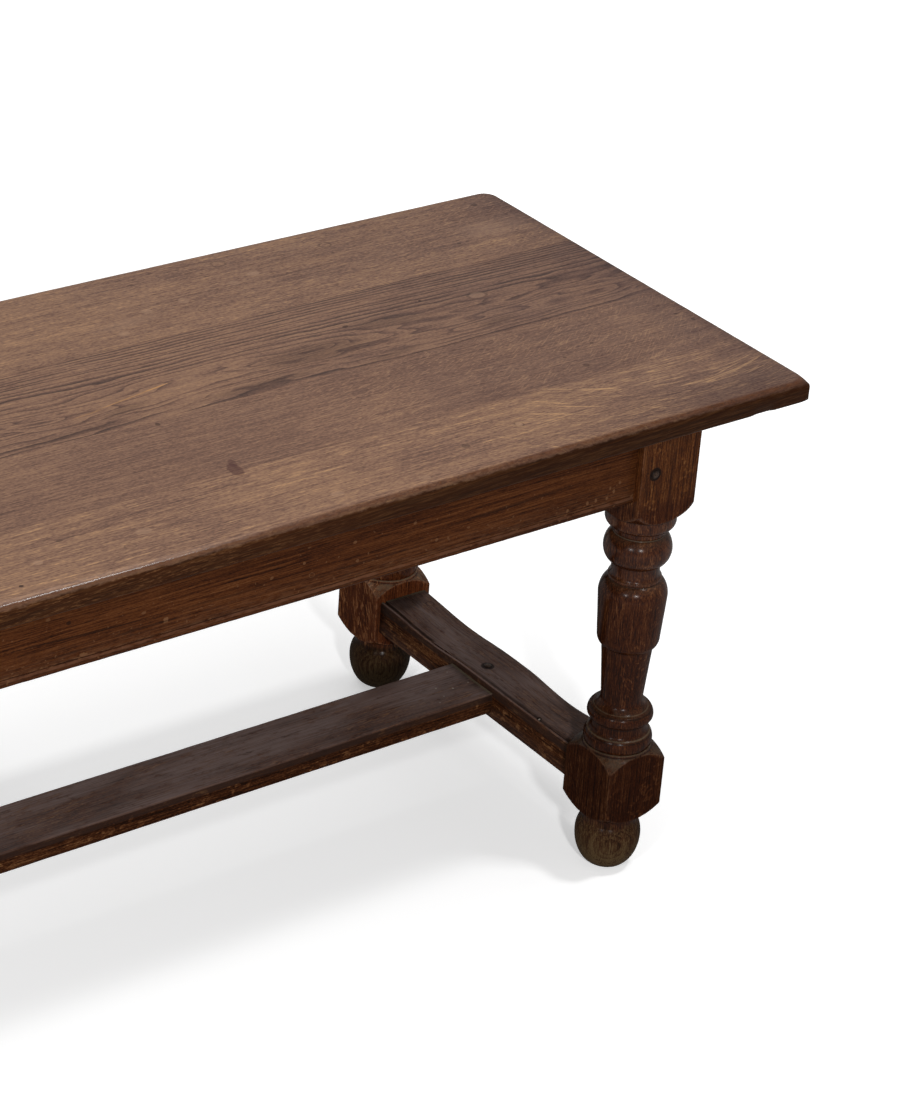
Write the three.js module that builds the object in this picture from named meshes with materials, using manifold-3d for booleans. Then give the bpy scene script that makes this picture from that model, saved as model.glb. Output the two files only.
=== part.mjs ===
// A joined oak coffee table: a moulded plank top on four turned legs, tied by rails above and by
// an H of stretchers below. Millimetres, +Z up, +X along the length, the floor at z = 0 and the
// origin on the floor under the middle of the top. The front is -Y.
import * as THREE from "three";
import { mergeVertices } from "three/addons/utils/BufferGeometryUtils.js";
import Module from "manifold-3d";

// Whole table
const tableLength = 1220;
const tableWidth = 468;
const tableHeight = 482;
const endOverhang = 101.8;
const sideOverhang = 20.7;

// Clearances
const fit = 0.3;
const seamGap = 0.1;
const overrun = 6;

// Top: boards joined edge to edge, with one moulded edge run round all of them. The front edge is
// rounded more than the others.
const topThickness = 20.5;
const backCornerRadius = 12;
const frontCornerRadius = 3;
const leastCornerRadius = 1;
const frontRoundWidth = 10;
const frontRoundHeight = 9;
const topRoundWidth = 5;
const topRoundHeight = 5;
const topUnderRound = 2.2;
const boardWidthShares = [0.209, 0.231, 0.277, 0.283];
const tongueThickness = 6;
const tongueWidth = 7;
const tongueStop = 40;

// Leg blocks
const blockSide = 63.5;
const topBlockHeight = 79;
const upperShoulderHeight = 13.6;
const upperShoulderRadius = 31.2;

// Turned members under the top block, from the top down
const astragalHeight = 14.6;
const astragalRadius = 31.7;
const bandHeight = 5;
const bandTopRadius = 25.4;
const bandFootRadius = 24.3;
const quirkHeight = 1.8;
const quirkRadius = 23.3;
const ballHeight = 29;
const ballRadius = 30.7;
const ballEndRadius = 23.8;
const neckHeight = 7;
const neckRadius = 21.7;
const coveHeight = 6.8;
const coveLipHeight = 2.2;
const coveLipRadius = 24.1;
const vaseShoulderHeight = 14.4;
const vaseTopRadius = 24.8;
const vaseRadius = 31;
const vaseBodyHeight = 44.8;
const vaseFootRadius = 28.1;
const vaseFootHeight = 7.7;
const shaftTopRadius = 23.2;

// Foot, lower block and the ring group over it, from the floor up
const footPadRadius = 9.5;
const footRadius = 30.3;
const footWidestHeight = 33;
const footNeckHeight = 16;
const collarRadius = 25.6;
const collarHeight = 7.4;
const lowerShoulderHeight = 13.6;
const lowerBlockHeight = 47.4;
const domeHeight = 10.8;
const domeTopRadius = 31.8;
const filletRadius = 31.3;
const filletHeight = 2.7;
const lowerRingHeight = 13;
const lowerRingFootRadius = 29.9;
const lowerRingRadius = 31.2;
const lowerRingLipRadius = 28.4;
const waistHeight = 11.9;
const waistRadius = 25.3;
const upperRingHeight = 11.8;
const upperRingFootRadius = 26.2;
const upperRingRadius = 30.1;
const upperRingLipRadius = 27.4;
const flareHeight = 9.6;
const shaftFootRadius = 18.9;

// Where each round member is at its widest, as a share of its height
const ringWidestShare = 0.42;
const ballWidestShare = 0.48;
const astragalWidestShare = 0.52;
const waistHollowShare = 0.5;

// Rails
const railHeight = 71;
const railThickness = 22;
const railRecess = 8.3;
const railBeadHeight = 7;
const railBeadRoundShare = 0.4;
const railQuirkHeight = 1.4;
const railQuirkDepth = 1.6;
const railTenonThickness = 9;
const railTenonLength = 30;
const railTenonShoulder = 9;

// Cross stretchers
const crossWidth = 53.4;
const crossBottom = 79.7;
const crossHeight = 33.3;
const crossTenonThickness = 14;
const crossTenonLength = 28;
const crossTenonShoulder = 5;
const crossBeadWidth = 4.4;
const crossBeadDrop = 3;
const crossQuirkWidth = 1.8;
const crossQuirkDepth = 2.2;
const crossArris = 2.6;
const crossUnderArris = 1.2;
const crossFlatShares = [0.4, 0.7];

// Feet have hollowed the cross stretchers, most along the outer side. In the table, middle and
// reach are shares of the half length, depth is a share of footWear, and inward is the share of
// that depth that is left at the inner edge.
const footWear = 2.2;
const innerWearShare = 0.3;
const hollowShares = [
  { middle: 0.5, reach: 0.45, depth: 1.15, inward: 1 },
  { middle: -0.54, reach: 0.44, depth: 2, inward: 0 },
];

// Centre stretcher
const centreWidth = 64.5;
const centreThickness = 21.2;
const centreRise = 5.7;
const centreArris = 1.4;
const centreTenonWidth = 48;
const centreTenonThickness = 10;
const centreTenonLength = 36;

// Pegs
const pegRadius = 4.1;
const pegProud = 1.3;
const pegTaper = 0.7;
const pegPoint = 2.1;
const railPegInset = 15.1;
const railPegDepth = 30;
const railPegRise = 28.3;
const crossPegInset = 14;
const crossPegDepth = 42;
const centrePegInset = 20.7;
const centrePegDepth = 24;
const centrePegOffset = 4;

// Buttons that hold the top down: each has a tongue in a slot of its rail
const buttonWidth = 30;
const buttonLength = 38;
const buttonThickness = 16;
const buttonBevel = 5;
const buttonTongueLength = 7;
const buttonTongueThickness = 7;
const buttonPlay = 3;
const screwHoleRadius = 2.4;
const longRailButtonShares = [-0.62, 0, 0.62];
const endRailButtonShares = [-0.5, 0.5];

// Facets
const turnedSides = 20;
const roundSides = 8;
const cornerSteps = 4;
const topEdgeSteps = 4;
const underEdgeSteps = 2;
const beadSteps = 4;
const crossStations = 12;
const wearFadePower = 6;
const mergeDistance = 1e-4;

// The way a turned surface faces, in degrees above level
const facesDown = -90;
const facesOut = 0;
const facesUp = 90;

// Places that the rest lines up with
const topUnderside = tableHeight - topThickness;
const legHeight = topUnderside - fit;
const blockHalf = blockSide / 2;
const cornerReach = blockHalf * Math.SQRT2;
const legX = tableLength / 2 - endOverhang - blockHalf;
const legY = tableWidth / 2 - sideOverhang - blockHalf;
const railFaceX = legX + blockHalf - railRecess;
const railFaceY = legY + blockHalf - railRecess;
const railOffset = blockHalf - railRecess - railThickness / 2;
const railBottom = legHeight - railHeight;
const railPegHeight = railBottom + railPegRise;
const longRailLength = 2 * (legX - blockHalf - fit);
const endRailLength = 2 * (legY - blockHalf - fit);
const longButtonPlaces = longRailButtonShares.map((share) => (share * longRailLength) / 2);
const endButtonPlaces = endRailButtonShares.map((share) => (share * endRailLength) / 2);
const crossTop = crossBottom + crossHeight;
const crossMiddle = crossBottom + crossHeight / 2;
const crossLength = 2 * (legY - blockHalf - fit);
const centreBottom = crossBottom + centreRise;
const centreMiddle = centreBottom + centreThickness / 2;
const centreLength = 2 * (legX - crossWidth / 2 - fit);

const wasm = await Module();
wasm.setup();

// A closed geometry as a solid that can be joined and cut.
function toSolid(geometry) {
  const bare = new THREE.BufferGeometry();
  bare.setAttribute("position", geometry.getAttribute("position"));
  bare.setIndex(geometry.index);
  const merged = mergeVertices(bare, mergeDistance);
  const vertProperties = merged.getAttribute("position").array;
  const triVerts = new Uint32Array(merged.index.array);
  return new wasm.Manifold(new wasm.Mesh({ numProp: 3, vertProperties, triVerts }));
}

// A solid as a flat-shaded geometry.
function toGeometry(solid) {
  const mesh = solid.getMesh();
  const geometry = new THREE.BufferGeometry();
  geometry.setAttribute("position", new THREE.BufferAttribute(mesh.vertProperties, 3));
  geometry.setIndex(new THREE.BufferAttribute(mesh.triVerts, 1));
  const faceted = geometry.toNonIndexed();
  faceted.computeVertexNormals();
  return faceted;
}

function cut(solid, tools) {
  return tools.reduce((rest, tool) => rest.subtract(tool), solid);
}

function box(sizeX, sizeY, sizeZ, x, y, z) {
  return toSolid(new THREE.BoxGeometry(sizeX, sizeY, sizeZ).translate(x, y, z));
}

// A round bar from one point to another.
function bar(radius, from, to) {
  const along = new THREE.Vector3().subVectors(to, from);
  const geometry = new THREE.CylinderGeometry(radius, radius, along.length(), roundSides);
  const axis = new THREE.Vector3(0, 1, 0);
  const turn = new THREE.Quaternion().setFromUnitVectors(axis, along.clone().normalize());
  const middle = new THREE.Vector3().addVectors(from, to).multiplyScalar(0.5);
  geometry.applyQuaternion(turn);
  return toSolid(geometry.translate(middle.x, middle.y, middle.z));
}

// A shape drawn across Y and Z, run out along X to both sides of the middle.
function runAlongX(shape, length) {
  const geometry = new THREE.ExtrudeGeometry(shape, { depth: length, bevelEnabled: false });
  const turn = new THREE.Matrix4().makeBasis(
    new THREE.Vector3(0, 1, 0),
    new THREE.Vector3(0, 0, 1),
    new THREE.Vector3(1, 0, 0),
  );
  return toSolid(geometry.translate(0, 0, -length / 2).applyMatrix4(turn));
}

function shapeFrom(points) {
  return new THREE.Shape(points.map(([across, up]) => new THREE.Vector2(across, up)));
}

// A closed skin over rings of equal length. toPlane lays a ring flat so that it runs
// anticlockwise, with the next ring nearer to the eye.
function loft(rings, toPlane) {
  const size = rings[0].length;
  const last = (rings.length - 1) * size;
  const indices = [];
  for (let start = 0; start < last; start += size) {
    for (let i = 0; i < size; i++) {
      const a = start + i;
      const b = start + ((i + 1) % size);
      indices.push(a, b, b + size, a, b + size, a + size);
    }
  }
  const cap = (ring) => THREE.ShapeUtils.triangulateShape(ring.map(toPlane), []);
  for (const [a, b, c] of cap(rings[0])) {
    indices.push(a, c, b);
  }
  for (const [a, b, c] of cap(rings.at(-1))) {
    indices.push(last + a, last + b, last + c);
  }
  const geometry = new THREE.BufferGeometry().setFromPoints(rings.flat());
  return toSolid(geometry.setIndex(indices));
}

// A turned outline that grows upwards: radius across, height up.
class TurnedOutline {
  constructor() {
    this.points = [new THREE.Vector2(0, 0)];
    this.height = 0;
  }

  to(radius, rise = 0) {
    this.height += rise;
    this.points.push(new THREE.Vector2(radius, this.height));
  }

  // Part of an ellipse, named by the way its surface faces where it starts and where it ends: a
  // round member turns from facing down to facing up, a hollow turns the other way.
  arc(radius, rise, startFacing, endFacing, steps) {
    const { x: startRadius, y: startHeight } = this.points.at(-1);
    const start = THREE.MathUtils.degToRad(startFacing);
    const end = THREE.MathUtils.degToRad(endFacing);
    for (let step = 1; step <= steps; step++) {
      const angle = start + ((end - start) * step) / steps;
      const across = (Math.cos(start) - Math.cos(angle)) / (Math.cos(start) - Math.cos(end));
      const up = (Math.sin(angle) - Math.sin(start)) / (Math.sin(end) - Math.sin(start));
      const newRadius = startRadius + (radius - startRadius) * across;
      this.points.push(new THREE.Vector2(newRadius, startHeight + rise * up));
    }
    this.height = startHeight + rise;
  }

  // A swelling member that is widest at a share of its height.
  swell(widest, end, rise, share, startFacing, endFacing, steps) {
    this.arc(widest, rise * share, startFacing, facesOut, steps);
    this.arc(end, rise * (1 - share), facesOut, endFacing, steps);
  }

  turn(sides) {
    this.to(0);
    return toSolid(new THREE.LatheGeometry(this.points, sides).rotateX(Math.PI / 2));
  }
}

// Ball foot and collar.
function drawFoot(outline) {
  outline.to(footPadRadius);
  outline.arc(footRadius, footWidestHeight, facesDown, facesOut, 4);
  outline.arc(collarRadius, footNeckHeight, facesOut, 40, 2);
  outline.to(collarRadius, collarHeight);
}

// The lower block with its turned shoulders. Past the corners the block's own faces rule.
function drawLowerBlock(outline) {
  outline.arc(cornerReach, lowerShoulderHeight, -60, -45, 2);
  outline.to(cornerReach + overrun);
  outline.to(cornerReach + overrun, lowerBlockHeight);
  outline.to(cornerReach);
  outline.arc(domeTopRadius, domeHeight, 40, 60, 2);
  outline.to(filletRadius, filletHeight);
}

// Two rings with a hollow over each. The upper hollow carries the shaft.
function drawRings(outline) {
  outline.to(lowerRingFootRadius);
  outline.swell(lowerRingRadius, lowerRingLipRadius, lowerRingHeight, ringWidestShare, -60, 65, 2);
  outline.arc(waistRadius, waistHeight * waistHollowShare, 80, facesOut, 2);
  outline.to(waistRadius, waistHeight * (1 - waistHollowShare));
  outline.to(upperRingFootRadius);
  outline.swell(upperRingRadius, upperRingLipRadius, upperRingHeight, ringWidestShare, -70, 60, 2);
  outline.arc(shaftFootRadius, flareHeight, 80, 5, 3);
}

// The tapering shaft and the vase that stands out over it. membersHeight is all that is above.
function drawShaftAndVase(outline, membersHeight) {
  const vaseHeight = vaseFootHeight + vaseBodyHeight + vaseShoulderHeight;
  outline.to(shaftTopRadius, legHeight - membersHeight - vaseHeight - outline.height);
  outline.arc(vaseFootRadius, vaseFootHeight, -75, -10, 2);
  outline.to(vaseRadius, vaseBodyHeight);
  outline.arc(vaseTopRadius, vaseShoulderHeight, 5, 70, 3);
}

// A hollow neck, the ball over it and the band that carries the astragal.
function drawBall(outline) {
  outline.to(quirkRadius, quirkHeight / 2);
  outline.to(coveLipRadius, quirkHeight / 2);
  outline.to(coveLipRadius, coveLipHeight);
  outline.arc(neckRadius, coveHeight, 80, facesOut, 2);
  outline.to(neckRadius, neckHeight);
  outline.to(ballEndRadius);
  outline.swell(ballRadius, ballEndRadius, ballHeight, ballWidestShare, -62, 62, 3);
  outline.to(quirkRadius, quirkHeight / 2);
  outline.to(bandFootRadius, quirkHeight / 2);
  outline.to(bandTopRadius, bandHeight);
}

// Astragal, turned shoulder and top block.
function drawTopBlock(outline) {
  const widest = astragalWidestShare;
  outline.swell(astragalRadius, upperShoulderRadius, astragalHeight, widest, -75, 35, 2);
  outline.arc(cornerReach, upperShoulderHeight, -60, -20, 3);
  outline.to(cornerReach + overrun);
  outline.to(cornerReach + overrun, topBlockHeight + overrun);
}

// A leg before its mortises: turned round members, with square blocks where the rails and the
// stretchers come in.
function legBlank() {
  const ballGroupHeight = 2 * quirkHeight + coveLipHeight + coveHeight + neckHeight + ballHeight;
  const blockGroupHeight = bandHeight + astragalHeight + upperShoulderHeight + topBlockHeight;
  const outline = new TurnedOutline();
  drawFoot(outline);
  drawLowerBlock(outline);
  drawRings(outline);
  drawShaftAndVase(outline, ballGroupHeight + blockGroupHeight);
  drawBall(outline);
  drawTopBlock(outline);
  const squareHeight = legHeight + overrun;
  const square = box(blockSide, blockSide, squareHeight, 0, 0, legHeight - squareHeight / 2);
  return outline.turn(turnedSides).intersect(square);
}

// The mortises and peg holes of the leg at one corner. Each side is +1 or -1.
function legTools(sideX, sideY) {
  const railMortiseDepth = railTenonLength + fit + overrun;
  const railMortiseMiddle = blockHalf + overrun - railMortiseDepth / 2;
  const railMortiseThickness = railTenonThickness + 2 * fit;
  const railMortiseHeight = railHeight - 2 * railTenonShoulder + 2 * fit;
  const crossMortiseDepth = crossTenonLength + fit + overrun;
  const crossMortiseMiddle = blockHalf + overrun - crossMortiseDepth / 2;
  const crossMortiseThickness = crossTenonThickness + 2 * fit;
  const crossMortiseHeight = crossHeight - 2 * crossTenonShoulder + 2 * fit;
  const railMiddle = railBottom + railHeight / 2;
  const at = (x, y, z) => new THREE.Vector3(sideX * x, sideY * y, z);
  const outside = blockHalf + overrun;
  const railPegLine = railPegInset - blockHalf;
  const railPegEnd = blockHalf - railPegDepth - fit;
  const crossPegLine = crossPegInset - blockHalf;
  const crossPegEnd = blockHalf - crossPegDepth - fit;
  const hole = pegRadius + fit;
  return [
    box(
      railMortiseDepth,
      railMortiseThickness,
      railMortiseHeight,
      -sideX * railMortiseMiddle,
      sideY * railOffset,
      railMiddle,
    ),
    box(
      railMortiseThickness,
      railMortiseDepth,
      railMortiseHeight,
      sideX * railOffset,
      -sideY * railMortiseMiddle,
      railMiddle,
    ),
    box(
      crossMortiseThickness,
      crossMortiseDepth,
      crossMortiseHeight,
      0,
      -sideY * crossMortiseMiddle,
      crossMiddle,
    ),
    bar(hole, at(railPegLine, railPegEnd, railPegHeight), at(railPegLine, outside, railPegHeight)),
    bar(hole, at(railPegEnd, railPegLine, railPegHeight), at(outside, railPegLine, railPegHeight)),
    bar(hole, at(crossPegEnd, crossPegLine, crossMiddle), at(outside, crossPegLine, crossMiddle)),
  ];
}

// A rail's section, from its outer face at y = 0. A bead runs along the foot of that face.
function railSection() {
  const round = railBeadHeight * railBeadRoundShare;
  const shape = new THREE.Shape();
  shape.moveTo(railThickness, 0);
  shape.lineTo(railThickness, railHeight);
  shape.lineTo(0, railHeight);
  shape.lineTo(0, railBeadHeight + railQuirkHeight);
  shape.lineTo(railQuirkDepth, railBeadHeight + railQuirkHeight / 2);
  shape.lineTo(railQuirkDepth, railBeadHeight);
  shape.quadraticCurveTo(0, railBeadHeight, 0, railBeadHeight - round);
  shape.lineTo(0, round);
  shape.quadraticCurveTo(0, 0, round, 0);
  return new THREE.Shape(shape.getPoints(beadSteps));
}

// A rail with its two tenons, along X with its outer face at y = 0 and its foot at z = 0.
function rail(length, buttonPlaces) {
  const tenon = box(
    length + 2 * (railTenonLength + fit),
    railTenonThickness,
    railHeight - 2 * railTenonShoulder,
    0,
    railThickness / 2,
    railHeight / 2,
  );
  const pegLine = length / 2 + fit + railPegInset;
  const holes = [-pegLine, pegLine].map((x) =>
    bar(
      pegRadius + fit,
      new THREE.Vector3(x, -overrun, railPegRise),
      new THREE.Vector3(x, railThickness + overrun, railPegRise),
    ),
  );
  const slotDepth = buttonTongueLength + fit + overrun;
  const slotMiddle = topUnderside - fit - buttonThickness + buttonTongueThickness / 2 - railBottom;
  const slots = buttonPlaces.map((x) =>
    box(
      buttonWidth + 2 * buttonPlay,
      slotDepth,
      buttonTongueThickness + 2 * fit,
      x,
      railThickness + overrun - slotDepth / 2,
      slotMiddle,
    ),
  );
  return toGeometry(cut(runAlongX(railSection(), length).add(tenon), [...holes, ...slots]));
}

// How far a cross stretcher is worn down, at a share of its half length from the middle to either
// leg and a share of its width from the inner edge.
function wear(lengthShare, widthShare) {
  const evenShare = 1 - Math.abs(lengthShare) ** wearFadePower;
  const even = footWear * evenShare * (innerWearShare + (1 - innerWearShare) * widthShare);
  return hollowShares.reduce((sum, { middle, reach, depth, inward }) => {
    const away = Math.min(1, Math.abs(lengthShare - middle) / reach);
    const along = Math.cos((away * Math.PI) / 2) ** 2;
    return sum + footWear * depth * along * (inward + (1 - inward) * widthShare);
  }, even);
}

// A cross stretcher's section at a share of its half length: across from the inner side, and up.
function crossSection(lengthShare) {
  const surface = (across) => crossTop - wear(lengthShare, across / crossWidth);
  const beadFoot = surface(0) - crossBeadDrop;
  const bead = Array.from({ length: beadSteps + 1 }, (_, step) => {
    const angle = THREE.MathUtils.degToRad(180 - (150 * step) / beadSteps);
    const across = (crossBeadWidth * (1 + Math.cos(angle))) / 2;
    return [across, beadFoot + crossBeadDrop * Math.sin(angle)];
  });
  const quirkEnd = crossBeadWidth + crossQuirkWidth;
  const flat = crossFlatShares.map((share) => share * crossWidth);
  const shoulder = crossWidth - crossArris;
  return [
    [crossUnderArris, crossBottom],
    [0, crossBottom + crossUnderArris],
    ...bead,
    [crossBeadWidth, surface(0) - crossQuirkDepth],
    [quirkEnd, surface(quirkEnd)],
    ...flat.map((across) => [across, surface(across)]),
    [shoulder, surface(shoulder)],
    [crossWidth, surface(crossWidth) - crossArris],
    [crossWidth, crossBottom + crossUnderArris],
    [crossWidth - crossUnderArris, crossBottom],
  ];
}

// The right-hand cross stretcher along Y, with its inner side towards -X.
function crossStretcher() {
  const innerX = -crossWidth / 2;
  const rings = Array.from({ length: crossStations + 1 }, (_, station) => {
    const share = (2 * station) / crossStations - 1;
    const y = (share * crossLength) / 2;
    return crossSection(share).map(([across, z]) => new THREE.Vector3(innerX + across, y, z));
  });
  const tenon = box(
    crossTenonThickness,
    crossLength + 2 * (crossTenonLength + fit),
    crossHeight - 2 * crossTenonShoulder,
    0,
    0,
    crossMiddle,
  );
  const mortiseDepth = centreTenonLength + fit + overrun;
  const mortise = box(
    mortiseDepth,
    centreTenonWidth + 2 * fit,
    centreTenonThickness + 2 * fit,
    innerX - overrun + mortiseDepth / 2,
    0,
    centreMiddle,
  );
  const pegLine = crossLength / 2 + fit + crossPegInset;
  const endHoles = [-pegLine, pegLine].map((y) =>
    bar(
      pegRadius + fit,
      new THREE.Vector3(-crossWidth, y, crossMiddle),
      new THREE.Vector3(crossWidth, y, crossMiddle),
    ),
  );
  const pegX = innerX + centrePegInset;
  const topHole = bar(
    pegRadius + fit,
    new THREE.Vector3(pegX, centrePegOffset, crossTop - centrePegDepth - fit),
    new THREE.Vector3(pegX, centrePegOffset, crossTop + overrun),
  );
  const body = loft(rings, (point) => new THREE.Vector2(point.z, point.x));
  return toGeometry(cut(body.add(tenon), [mortise, topHole, ...endHoles]));
}

// The flat centre stretcher along X, from z = 0 up, with eased arrises and a tenon at each end.
function centreStretcher() {
  const half = centreWidth / 2;
  const section = shapeFrom([
    [half - centreArris, 0],
    [half, centreArris],
    [half, centreThickness - centreArris],
    [half - centreArris, centreThickness],
    [centreArris - half, centreThickness],
    [-half, centreThickness - centreArris],
    [-half, centreArris],
    [centreArris - half, 0],
  ]);
  const tenon = box(
    centreLength + 2 * (centreTenonLength + fit),
    centreTenonWidth,
    centreTenonThickness,
    0,
    0,
    centreThickness / 2,
  );
  const pegX = centreLength / 2 + fit + centrePegInset;
  const holes = [-1, 1].map((side) =>
    bar(
      pegRadius + fit,
      new THREE.Vector3(side * pegX, side * centrePegOffset, -overrun),
      new THREE.Vector3(side * pegX, side * centrePegOffset, centreThickness + overrun),
    ),
  );
  return toGeometry(cut(runAlongX(section, centreLength).add(tenon), holes));
}

// The top's plan at one step of its moulded edge. front and rest each say how far in an edge is
// and how high it is, for the front edge and for the other three.
function topRing(front, rest) {
  const corners = [
    { sideX: 1, sideY: 1, planRadius: backCornerRadius },
    { sideX: -1, sideY: 1, planRadius: backCornerRadius },
    { sideX: -1, sideY: -1, planRadius: frontCornerRadius },
    { sideX: 1, sideY: -1, planRadius: frontCornerRadius },
  ];
  return corners.flatMap(({ sideX, sideY, planRadius }, quarter) => {
    const longEdge = sideY < 0 ? front : rest;
    const inset = Math.max(longEdge.inset, rest.inset);
    const radius = Math.max(leastCornerRadius, planRadius - inset);
    const x = sideX * (tableLength / 2 - rest.inset - radius);
    const y = sideY * (tableWidth / 2 - longEdge.inset - radius);
    return Array.from({ length: cornerSteps + 1 }, (_, step) => {
      const turned = step / cornerSteps;
      const angle = (quarter + turned) * (Math.PI / 2);
      const longShare = quarter % 2 === 0 ? turned : 1 - turned;
      const height = rest.height + (longEdge.height - rest.height) * longShare;
      return new THREE.Vector3(x + radius * Math.cos(angle), y + radius * Math.sin(angle), height);
    });
  });
}

// The whole top before it is parted into boards, from z = 0 up: a small round under its edge and
// a large one over it.
function topSlab() {
  const quarterTurn = Math.PI / 2;
  const under = Array.from({ length: underEdgeSteps + 1 }, (_, step) => {
    const angle = (quarterTurn * step) / underEdgeSteps;
    const inset = topUnderRound * (1 - Math.sin(angle));
    const edge = { inset, height: topUnderRound * (1 - Math.cos(angle)) };
    return topRing(edge, edge);
  });
  const over = Array.from({ length: topEdgeSteps + 1 }, (_, step) => {
    const angle = (quarterTurn * step) / topEdgeSteps;
    const [front, rest] = [
      [frontRoundWidth, frontRoundHeight],
      [topRoundWidth, topRoundHeight],
    ].map(([width, height]) => ({
      inset: width * (1 - Math.cos(angle)),
      height: topThickness - height * (1 - Math.sin(angle)),
    }));
    return topRing(front, rest);
  });
  return loft([...under, ...over], (point) => new THREE.Vector2(point.x, point.y));
}

// A run along a seam, inside both ends of the top: the tongue, or its groove with a clearance.
function seamRun(seam, clearance) {
  const back = seam + seamGap / 2 + tongueWidth + clearance;
  const front = seam - overrun;
  return box(
    tableLength - 2 * tongueStop + 2 * clearance,
    back - front,
    tongueThickness + 2 * clearance,
    0,
    (back + front) / 2,
    topThickness / 2,
  );
}

// The boards from front to back. Each but the last has a tongue, which the next is grooved for.
function topBoards() {
  const slab = topSlab();
  const total = boardWidthShares.reduce((sum, share) => sum + share, 0);
  const edges = [-tableWidth / 2];
  for (const share of boardWidthShares) {
    edges.push(edges.at(-1) + (tableWidth * share) / total);
  }
  return boardWidthShares.map((_, i) => {
    const isFirst = i === 0;
    const isLast = i === boardWidthShares.length - 1;
    const front = isFirst ? edges[i] - overrun : edges[i] + seamGap / 2;
    const back = isLast ? edges[i + 1] + overrun : edges[i + 1] - seamGap / 2;
    const length = tableLength + 2 * overrun;
    const height = topThickness + 2 * overrun;
    const strip = box(length, back - front, height, 0, (back + front) / 2, topThickness / 2);
    const board = slab.intersect(strip);
    const tongued = isLast ? board : board.add(seamRun(edges[i + 1], 0));
    return toGeometry(isFirst ? tongued : tongued.subtract(seamRun(edges[i], fit)));
  });
}

// A peg along +Z: its driven end at z = 0, its domed head past the depth of its hole.
function peg(depth) {
  const outline = new TurnedOutline();
  outline.to(pegRadius - pegTaper);
  outline.to(pegRadius, pegPoint);
  outline.to(pegRadius, depth - pegPoint);
  outline.arc(0, pegProud, facesOut, facesUp, 2);
  return new THREE.LatheGeometry(outline.points, roundSides).rotateX(Math.PI / 2);
}

// A button: its upper face at z = 0, its tongue towards -Y from y = 0.
function button() {
  const section = shapeFrom([
    [0, 0],
    [0, buttonTongueThickness - buttonThickness],
    [-buttonTongueLength, buttonTongueThickness - buttonThickness],
    [-buttonTongueLength, -buttonThickness],
    [buttonLength - buttonBevel, -buttonThickness],
    [buttonLength, buttonBevel - buttonThickness],
    [buttonLength, 0],
  ]);
  const hole = bar(
    screwHoleRadius,
    new THREE.Vector3(0, buttonLength / 2, -buttonThickness - overrun),
    new THREE.Vector3(0, buttonLength / 2, overrun),
  );
  return toGeometry(runAlongX(section, buttonWidth).subtract(hole));
}

const finishes = {
  top: { color: 0x8a5a3c, roughness: 0.4, metalness: 0 },
  leg: { color: 0x4a2616, roughness: 0.38, metalness: 0 },
  rail: { color: 0x5c3018, roughness: 0.4, metalness: 0 },
  stretcher: { color: 0x6b5144, roughness: 0.45, metalness: 0 },
  peg: { color: 0x33211a, roughness: 0.5, metalness: 0 },
  button: { color: 0x7a5a3a, roughness: 0.7, metalness: 0 },
};

const table = new THREE.Group();
table.name = "coffee_table";

function addPiece(name, geometry, finish, place, turn = 0) {
  const mesh = new THREE.Mesh(geometry, new THREE.MeshStandardMaterial(finishes[finish]));
  mesh.name = name;
  mesh.position.copy(place);
  mesh.rotation.z = turn;
  table.add(mesh);
  return mesh;
}

const ends = [
  { name: "left", side: -1 },
  { name: "right", side: 1 },
];
const faces = [
  { name: "front", side: -1 },
  { name: "back", side: 1 },
];
const corners = faces.flatMap((face) =>
  ends.map((end) => ({ name: `${face.name}_${end.name}`, sideX: end.side, sideY: face.side })),
);

function addTop() {
  const names = ["front", "front_inner", "back_inner", "back"];
  const place = new THREE.Vector3(0, 0, topUnderside);
  topBoards().forEach((geometry, i) => {
    addPiece(`top_board_${names[i]}`, geometry, "top", place);
  });
}

function addLegs() {
  const blank = legBlank();
  for (const { name, sideX, sideY } of corners) {
    const geometry = toGeometry(cut(blank, legTools(sideX, sideY)));
    addPiece(`leg_${name}`, geometry, "leg", new THREE.Vector3(sideX * legX, sideY * legY, 0));
  }
}

// A rail and its buttons, which hang from the top and reach into the rail's slots.
function addRail(name, length, buttonPlaces, facePlace, turn) {
  addPiece(`rail_${name}`, rail(length, buttonPlaces), "rail", facePlace, turn);
  buttonPlaces.forEach((along, i) => {
    const place = new THREE.Vector3(along, railThickness + fit, 0);
    place.applyAxisAngle(new THREE.Vector3(0, 0, 1), turn).add(facePlace);
    place.z = topUnderside - fit;
    addPiece(`button_${name}_${i + 1}`, button(), "button", place, turn);
  });
}

function addRails() {
  for (const { name, side } of faces) {
    const facePlace = new THREE.Vector3(0, side * railFaceY, railBottom);
    addRail(name, longRailLength, longButtonPlaces, facePlace, side < 0 ? 0 : Math.PI);
  }
  for (const { name, side } of ends) {
    const facePlace = new THREE.Vector3(side * railFaceX, 0, railBottom);
    addRail(name, endRailLength, endButtonPlaces, facePlace, (side * Math.PI) / 2);
  }
}

function addStretchers() {
  for (const { name, side } of ends) {
    const place = new THREE.Vector3(side * legX, 0, 0);
    const turn = side > 0 ? 0 : Math.PI;
    addPiece(`cross_stretcher_${name}`, crossStretcher(), "stretcher", place, turn);
  }
  const place = new THREE.Vector3(0, 0, centreBottom);
  addPiece("centre_stretcher", centreStretcher(), "stretcher", place);
}

// A peg in a hole that runs in against outward from a point on the surface.
function addPeg(name, surface, outward, depth) {
  const tip = surface.clone().addScaledVector(outward, -depth);
  const mesh = addPiece(`peg_${name}`, peg(depth), "peg", tip);
  mesh.quaternion.setFromUnitVectors(new THREE.Vector3(0, 0, 1), outward);
}

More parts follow.
